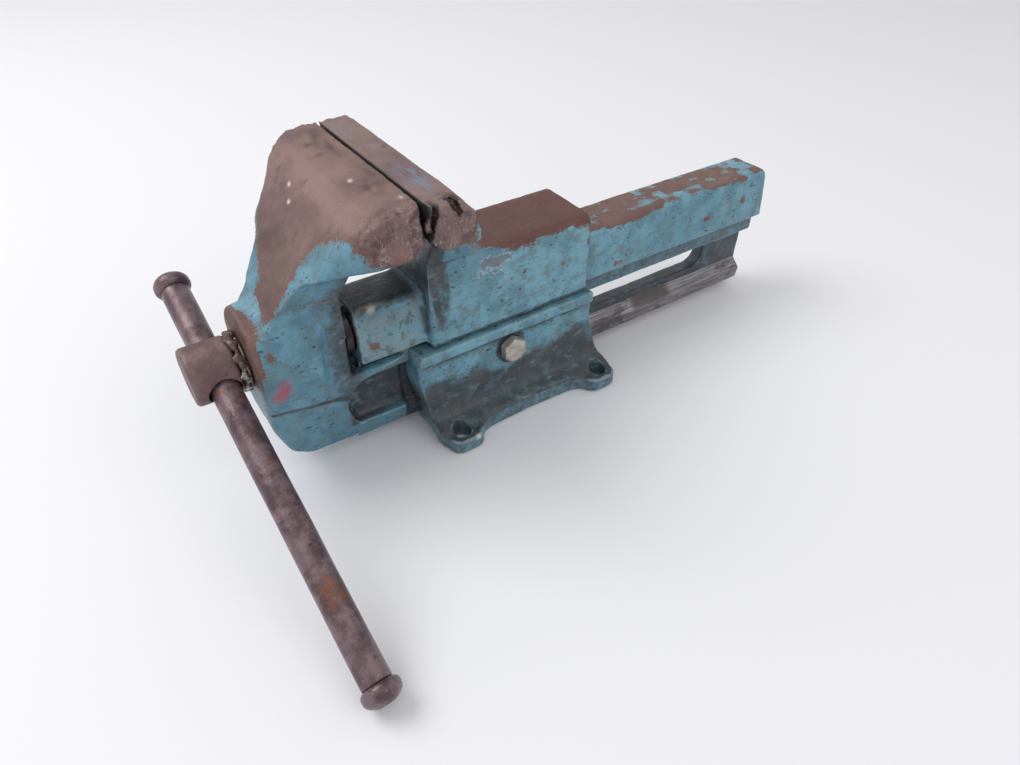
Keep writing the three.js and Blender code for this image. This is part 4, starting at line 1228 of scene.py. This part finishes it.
def weld_ring():
    """Collar buried under a lumpy weld that joins it to the spindle head."""
    low = Vector((COLLAR_LOW.x - 2.5, COLLAR_LOW.y - 4, COLLAR_LOW.z - 4))
    high = Vector((COLLAR_HIGH.x + 2, COLLAR_HIGH.y + 4, COLLAR_HIGH.z + 4))
    grid = Grid(low, high, 0.5)
    rng = np.random.default_rng(61)
    outer = (COLLAR_HIGH.z - COLLAR_LOW.z) / 2
    body = rod_x(grid, outer, COLLAR_LOW.x, COLLAR_HIGH.x, edge=0.8)
    run = np.hypot(grid.y, grid.z - AXIS_Z) - outer + 0.6
    body = either(body, np.hypot(run, grid.x - COLLAR_LOW.x - 1.2) - 1.7, 1.0)
    beads = 64
    for i in range(beads):
        turn = 2 * math.pi * (i + rng.uniform(-0.9, 0.9)) / beads
        radius = rng.choice((rng.uniform(0.7, 1.3), rng.uniform(1.5, 3.1)))
        reach = outer - 0.4 * radius + rng.uniform(-0.6, 0.9)
        x = COLLAR_LOW.x + rng.uniform(-0.6, 4.6)
        y, z = reach * math.cos(turn), AXIS_Z + reach * math.sin(turn)
        lump = np.sqrt((0.8 * (grid.x - x)) ** 2 + (grid.y - y) ** 2 + (grid.z - z) ** 2) - radius
        body = either(body, lump, 1.4)
    washer_room = rod_x(grid, outer - 0.2, COLLAR_HIGH.x, COLLAR_HIGH.x + 9)
    inside_boss = grid.x - COLLAR_HIGH.x - 2.0
    head_room = rod_x(grid, (HEAD_HIGH.z - HEAD_LOW.z) / 2 - 0.4, HEAD_LOW.x, HEAD_HIGH.x)
    bore = rod_x(grid, THREAD_R + GAP, HEAD_LOW.x, 0)
    body = without(without(without(body, washer_room), head_room), bore)
    piece, verts, _ = forged("collar_weld", both(body, inside_boss), grid, 0.3)
    store(piece, "rust", ramp(verts[:, 2], AXIS_Z - 4, AXIS_Z + 12))
    return piece


def turned_ring(name, node, edge):
    """Flat ring round the spindle, in the place of a CAD ring."""
    low, high = cad_box(node)
    profile = ring_profile(0, high.x - low.x, THREAD_R + GAP, (high.z - low.z) / 2, edge)
    return lathe(name, (low.x, 0, AXIS_Z), (1, 0, 0), profile, 72, ring=True)


def threaded_spindle():
    """Screw with its trapezoidal thread cut as a real helix."""
    depth, step = 3.0, THREAD_LEAD / 12
    x0, x1 = SPINDLE_LOW.x, SPINDLE_HIGH.x
    thread_from = HEAD_HIGH.x + 66

    def helix(t, angle, r):
        phase = (t / THREAD_LEAD - angle / (2 * math.pi)) % 1.0
        flank = np.clip((np.abs(phase - 0.5) - 0.13) / 0.13, 0, 1)
        ramp_in = np.clip((t + x0 - thread_from) / 8, 0, 1)
        taper = np.clip(x1 - 4 - (t + x0), -4, 0)
        return np.minimum(r, np.maximum(THREAD_R - depth * flank * ramp_in, 1) + taper)

    length = x1 - x0
    thread = [(t, THREAD_R) for t in np.arange(step, length, step)]
    profile = [(0, 0), (0, THREAD_R), *thread, (length, THREAD_R - 4), (length, 0)]
    return lathe("spindle_screw", (x0, 0, AXIS_Z), (1, 0, 0), profile, 48, helix)


def hexagon(flats, chamfer_at):
    """Shape of a hexagon bar with its corners chamfered near t = chamfer_at."""

    def shape(t, angle, r):
        turn = (angle + math.pi / 6) % (math.pi / 3) - math.pi / 6
        side = np.minimum(flats / 2 / np.cos(turn), flats / math.sqrt(3) - 0.25)
        side = np.minimum(side, flats / 2 - 0.4 + 1.9 * np.abs(t - chamfer_at))
        return np.where(r > flats / 2 - 2, np.minimum(side, r), r)

    return shape


def clamp_bolt():
    """Hex-head bolt: chamfered head towards the viewer's side, thread showing past the nut."""
    x, z = bolt_axis()
    flats = BOLT_HIGH.x - BOLT_LOW.x
    length = BOLT_HIGH.y - BOLT_LOW.y
    head_end, pitch, thread_from = 7.5, 1.75, 60
    sides = [(t, flats / math.sqrt(3)) for t in np.linspace(0.05, head_end - 0.1, 14)]
    head = [(0, 0), (0, flats / 2 - 0.5), *sides, (head_end, flats / 2 - 2.5)]
    shank = [(t, BOLT_R) for t in np.arange(head_end + 0.1, length - 1.2, pitch / 6)]
    hex_shape = hexagon(flats, 0.0)

    def shape(t, angle, r):
        thread = np.clip(np.abs((t / pitch - angle / (2 * math.pi)) % 1.0 - 0.5) * 2, 0, 1)
        cut = np.where(t > thread_from, 0.9 * thread, 0)
        return np.where(t > head_end + 0.05, r - cut, hex_shape(t, angle, r))

    profile = [*head, *shank, (length, BOLT_R - 1.2), (length, 0)]
    return lathe("hex_bolt", (x, BOLT_LOW.y, z), (0, 1, 0), profile, 96, shape)


def bolt_ring(name, node, hexed):
    """Washer or nut on the cross bolt."""
    low, high = cad_box(node)
    flats, depth, edge = high.x - low.x, high.y - low.y, 0.5
    if hexed:
        sides = [(t, flats / math.sqrt(3)) for t in np.linspace(0.05, depth - 0.05, 16)]
        shape = hexagon(flats, depth)
    else:
        rise = ease(0, flats / 2 - edge, edge, flats / 2)
        sides = [*rise, *[(depth - t, r) for t, r in reversed(rise)]]
        shape = None
    bore, cap = BOLT_R + 0.3, flats / 2 - edge
    profile = [(0, bore), (0, cap), *sides, (depth, cap), (depth, bore)]
    place = ((low.x + high.x) / 2, low.y, (low.z + high.z) / 2)
    return lathe(name, place, (0, 1, 0), profile, 96, shape, ring=True)


# ---------------------------------------------------------------- smaller materials
def rusted(name, tones, gloss):
    """Old handled steel: purple brown, orange bands and bright scuffs."""
    s = Shader(name)
    cloudy, ragged = s.noise(14, 4, 0.6), s.noise(4, 5, 0.65)
    fine, grain = s.noise(1.1, 4, 0.6), s.noise(0.45, 2, 0.6)
    color = s.mix(s.step(cloudy, 0.38, 0.62), *tones)
    color = s.tint(color, srgb(98, 66, 56), 0.4, ragged, 0.5, 0.66)
    color = s.tint(color, srgb(134, 82, 54), 0.6, s.noise(24, 2), 0.6, 0.74)
    color = s.tint(color, srgb(44, 34, 36), 0.6, s.noise(7, 4, 0.6), 0.6, 0.7)
    scuffs = s.times(s.step(fine, 0.62, 0.69), s.step(ragged, 0.48, 0.58))
    color = s.mix(s.times(scuffs, 0.7), color, srgb(180, 170, 170))
    color = s.mix(s.times(s.mask("edge"), 0.5), color, srgb(128, 108, 108))
    normal = s.bump(s.add(fine, grain), 0.14, s.bump(ragged, 0.25))
    return s.finish(color, s.spread(cloudy, *gloss), 0.45, normal)


def weld_metal():
    """Gold, olive and pale grey weld spatter with painted near-white highlights, painted shade between the
    beads, and rust on its upper half.
    """
    s = Shader("weld_metal")
    patches, fine = s.noise(4, 4, 0.6), s.noise(1.2, 4, 0.6)
    color = s.mix(s.step(patches, 0.44, 0.56), srgb(170, 162, 144), srgb(104, 98, 84))
    # Near-white flecks: painted highlights on the beads.
    color = s.tint(color, srgb(216, 215, 212), 0.8, s.noise(6, 3, 0.6), 0.48, 0.6)
    color = s.tint(color, srgb(144, 130, 94), 0.6, fine, 0.54, 0.64)
    color = s.tint(color, srgb(56, 46, 42), 0.9, s.noise(3.1, 4, 0.6), 0.52, 0.6)
    # Painted shade in the hollows between the beads.
    color = s.mix(s.times(s.mask("hollow"), 0.9), color, srgb(48, 40, 38))
    rusty = s.add(s.mask("rust"), s.about(patches, 1.2))
    color = s.tint(color, srgb(82, 62, 58), 0.85, rusty, 0.4, 0.7)
    normal = s.bump(s.add(patches, fine), 0.35)
    return s.finish(color, s.spread(patches, 0.22, 0.5), 0.6, normal)


def plated():
    """Dull zinc with brown speckle and a pale bloom."""
    s = Shader("plated")
    patches, fine = s.noise(6, 4, 0.6), s.noise(0.9, 4, 0.6)
    color = s.mix(s.step(patches, 0.4, 0.62), srgb(196, 192, 184), srgb(168, 162, 150))
    color = s.tint(color, srgb(122, 104, 84), 0.55, fine, 0.55, 0.66)
    normal = s.bump(s.add(patches, fine), 0.12)
    return s.finish(color, s.spread(patches, 0.32, 0.5), 0.55, normal)


def greasy_steel(name, tone, dark):
    """Machined steel under old grease, with fine wear lines."""
    s = Shader(name)
    patches, lines = s.noise(11, 4, 0.6), s.noise(1.4, 3, 0.6, (1, 7, 7))
    color = s.mix(s.step(patches, 0.4, 0.62), tone, dark)
    color = s.tint(color, srgb(60, 50, 46), 0.4, lines, 0.56, 0.68)
    normal = s.bump(s.add(patches, s.times(lines, 0.6)), 0.1)
    return s.finish(color, s.spread(patches, 0.25, 0.5), 0.8, normal)


# ---------------------------------------------------------------- the vise
def forged_pieces():
    paint = Weathered("front_jaw_paint", FRONT_PAINT_TONES).build(red=True)
    forging(
        "front_jaw_forging", "front_jaw", "front_jaw_body",
        front_jaw_field, mark_front_jaw, paint, wear_front_jaw,
    )
    paint = Weathered("rear_jaw_paint", PAINT_TONES, REAR_RUST_TONES).build(worn=True)
    forging(
        "rear_jaw_forging", "root", "rear_jaw_body",
        rear_jaw_field, mark_rear_jaw, paint, wear_rear_jaw,
    )
    paint = Weathered("base_paint").build()
    forging("base_forging", "root", "base", base_field, mark_base, paint)


def spindle_pieces():
    bar = rusted("rusted_bar", (srgb(122, 102, 106), srgb(84, 66, 72)), (0.16, 0.34))
    head_steel = rusted("rusted_head", (srgb(122, 98, 99), srgb(104, 82, 84)), (0.42, 0.62))
    steel = greasy_steel("screw_steel", srgb(150, 142, 134), srgb(112, 104, 98))
    dress(spindle_head(), "spindle", head_steel, "rusted_steel", "spindle_head")
    dress(threaded_spindle(), "spindle", steel, "bright_steel", "spindle")
    dress(weld_ring(), "spindle", weld_metal(), "bronze", "thrust_collar")
    washer = turned_ring("washer_disc", "thrust_washer", 0.6)
    dress(washer, "front_jaw", steel, "bright_steel", "thrust_washer")
    ring = turned_ring("ring_disc", "retaining_ring", 0.8)
    blackened = greasy_steel("blackened_steel", srgb(62, 58, 58), srgb(44, 40, 40))
    dress(ring, "spindle", blackened, "bright_steel", "retaining_ring")
    dress(tommy_bar(), "tommy_bar", bar, "rusted_steel", "tommy_bar")
    dress(bar_knob("upper_knob", -BAR_UPPER_REACH, -1), "tommy_bar", bar, "rusted_steel", "bar_end_upper")
    dress(bar_knob("lower_knob", BAR_LOWER_REACH, 1), "tommy_bar", bar, "rusted_steel", "bar_end_lower")


def fastener_pieces():
    zinc = plated()
    dress(clamp_bolt(), "root", zinc, "zinc", "clamp_bolt")
    dress(bolt_ring("bolt_washer", "clamp_washer", False), "root", zinc, "zinc", "clamp_washer")
    dress(bolt_ring("bolt_nut", "clamp_nut", True), "root", zinc, "zinc", "clamp_nut")


def cad_piece_materials():
    """The small pieces that keep their CAD shape."""
    looks = {
        "bright_steel": greasy_steel("fitting_steel", srgb(140, 132, 126), srgb(98, 90, 86)),
        "bronze": greasy_steel("nut_bronze", srgb(168, 132, 82), srgb(116, 88, 56)),
    }
    prefixes = ("gib_", "body_screw_", "nut_screw_", "ring_screw_", "spindle_nut")
    for name, node in frame["nodes"].items():
        if name.startswith(prefixes):
            look = "bronze" if name == "spindle_nut" else "bright_steel"
            for place in node.material_slots:
                place.link = "OBJECT"
                place.material = looks[look]


forged_pieces()
spindle_pieces()
fastener_pieces()
cad_piece_materials()


# ---------------------------------------------------------------- floor, light and camera
def plain(name, color, roughness):
    material = bpy.data.materials.new(name)
    material.use_nodes = True
    shader = material.node_tree.nodes["Principled BSDF"]
    shader.inputs["Base Color"].default_value = (*color, 1)
    shader.inputs["Roughness"].default_value = roughness
    return material


def white_floor():
    side = 20.0
    corners = [(-side, -side, 0), (side, -side, 0), (side, side, 0), (-side, side, 0)]
    mesh = bpy.data.meshes.new("floor")
    mesh.from_pydata(corners, [], [(0, 1, 2, 3)])
    mesh.materials.append(plain("floor", (0.80, 0.80, 0.83), 0.6))
    floor = bpy.data.objects.new("floor", mesh)
    bpy.context.scene.collection.objects.link(floor)


def area_light(name, place, target, size, power):
    light = bpy.data.lights.new(name, "AREA")
    light.shape = "DISK"
    light.size = size
    light.energy = power
    lamp = bpy.data.objects.new(name, light)
    lamp.location = place
    lamp.rotation_euler = (Vector(target) - Vector(place)).to_track_quat("-Z", "Y").to_euler()
    bpy.context.scene.collection.objects.link(lamp)


def white_room():
    """An even white surround."""
    world = bpy.data.worlds.new("studio")
    world.use_nodes = True
    background = world.node_tree.nodes["Background"]
    background.inputs["Color"].default_value = (1, 1, 1, 1)
    background.inputs["Strength"].default_value = 0.7
    bpy.context.scene.world = world


def add_camera():
    """The photograph's viewing angle, worked out from the tape and the vise's own edges."""
    yaw, pitch, roll = math.radians(34.85), math.radians(40.32), math.radians(-0.74)
    data = bpy.data.cameras.new("camera")
    data.sensor_width = 36.0
    data.lens = 25.38
    data.clip_end = 50
    camera = bpy.data.objects.new("camera", data)
    forward = Vector((math.sin(yaw) * math.cos(pitch), math.cos(yaw) * math.cos(pitch), -math.sin(pitch)))
    right = Vector((math.cos(yaw), -math.sin(yaw), 0))
    down = forward.cross(right)
    image_right = math.cos(roll) * right + math.sin(roll) * down
    image_down = math.cos(roll) * down - math.sin(roll) * right
    turn = Matrix((image_right, -image_down, -forward)).transposed()
    camera.matrix_world = Matrix.Translation((-0.268, -0.406, 0.4038)) @ turn.to_4x4()
    bpy.context.scene.collection.objects.link(camera)
    bpy.context.scene.camera = camera


white_floor()
area_light("window", (-1.2, 1.0, 1.9), (0, 0, 0.1), 1.6, 29)
area_light("fill", (0.4, -1.6, 1.7), (0, 0, 0.1), 1.6, 8)
white_room()
add_camera()
bpy.context.scene.view_settings.view_transform = "Standard"
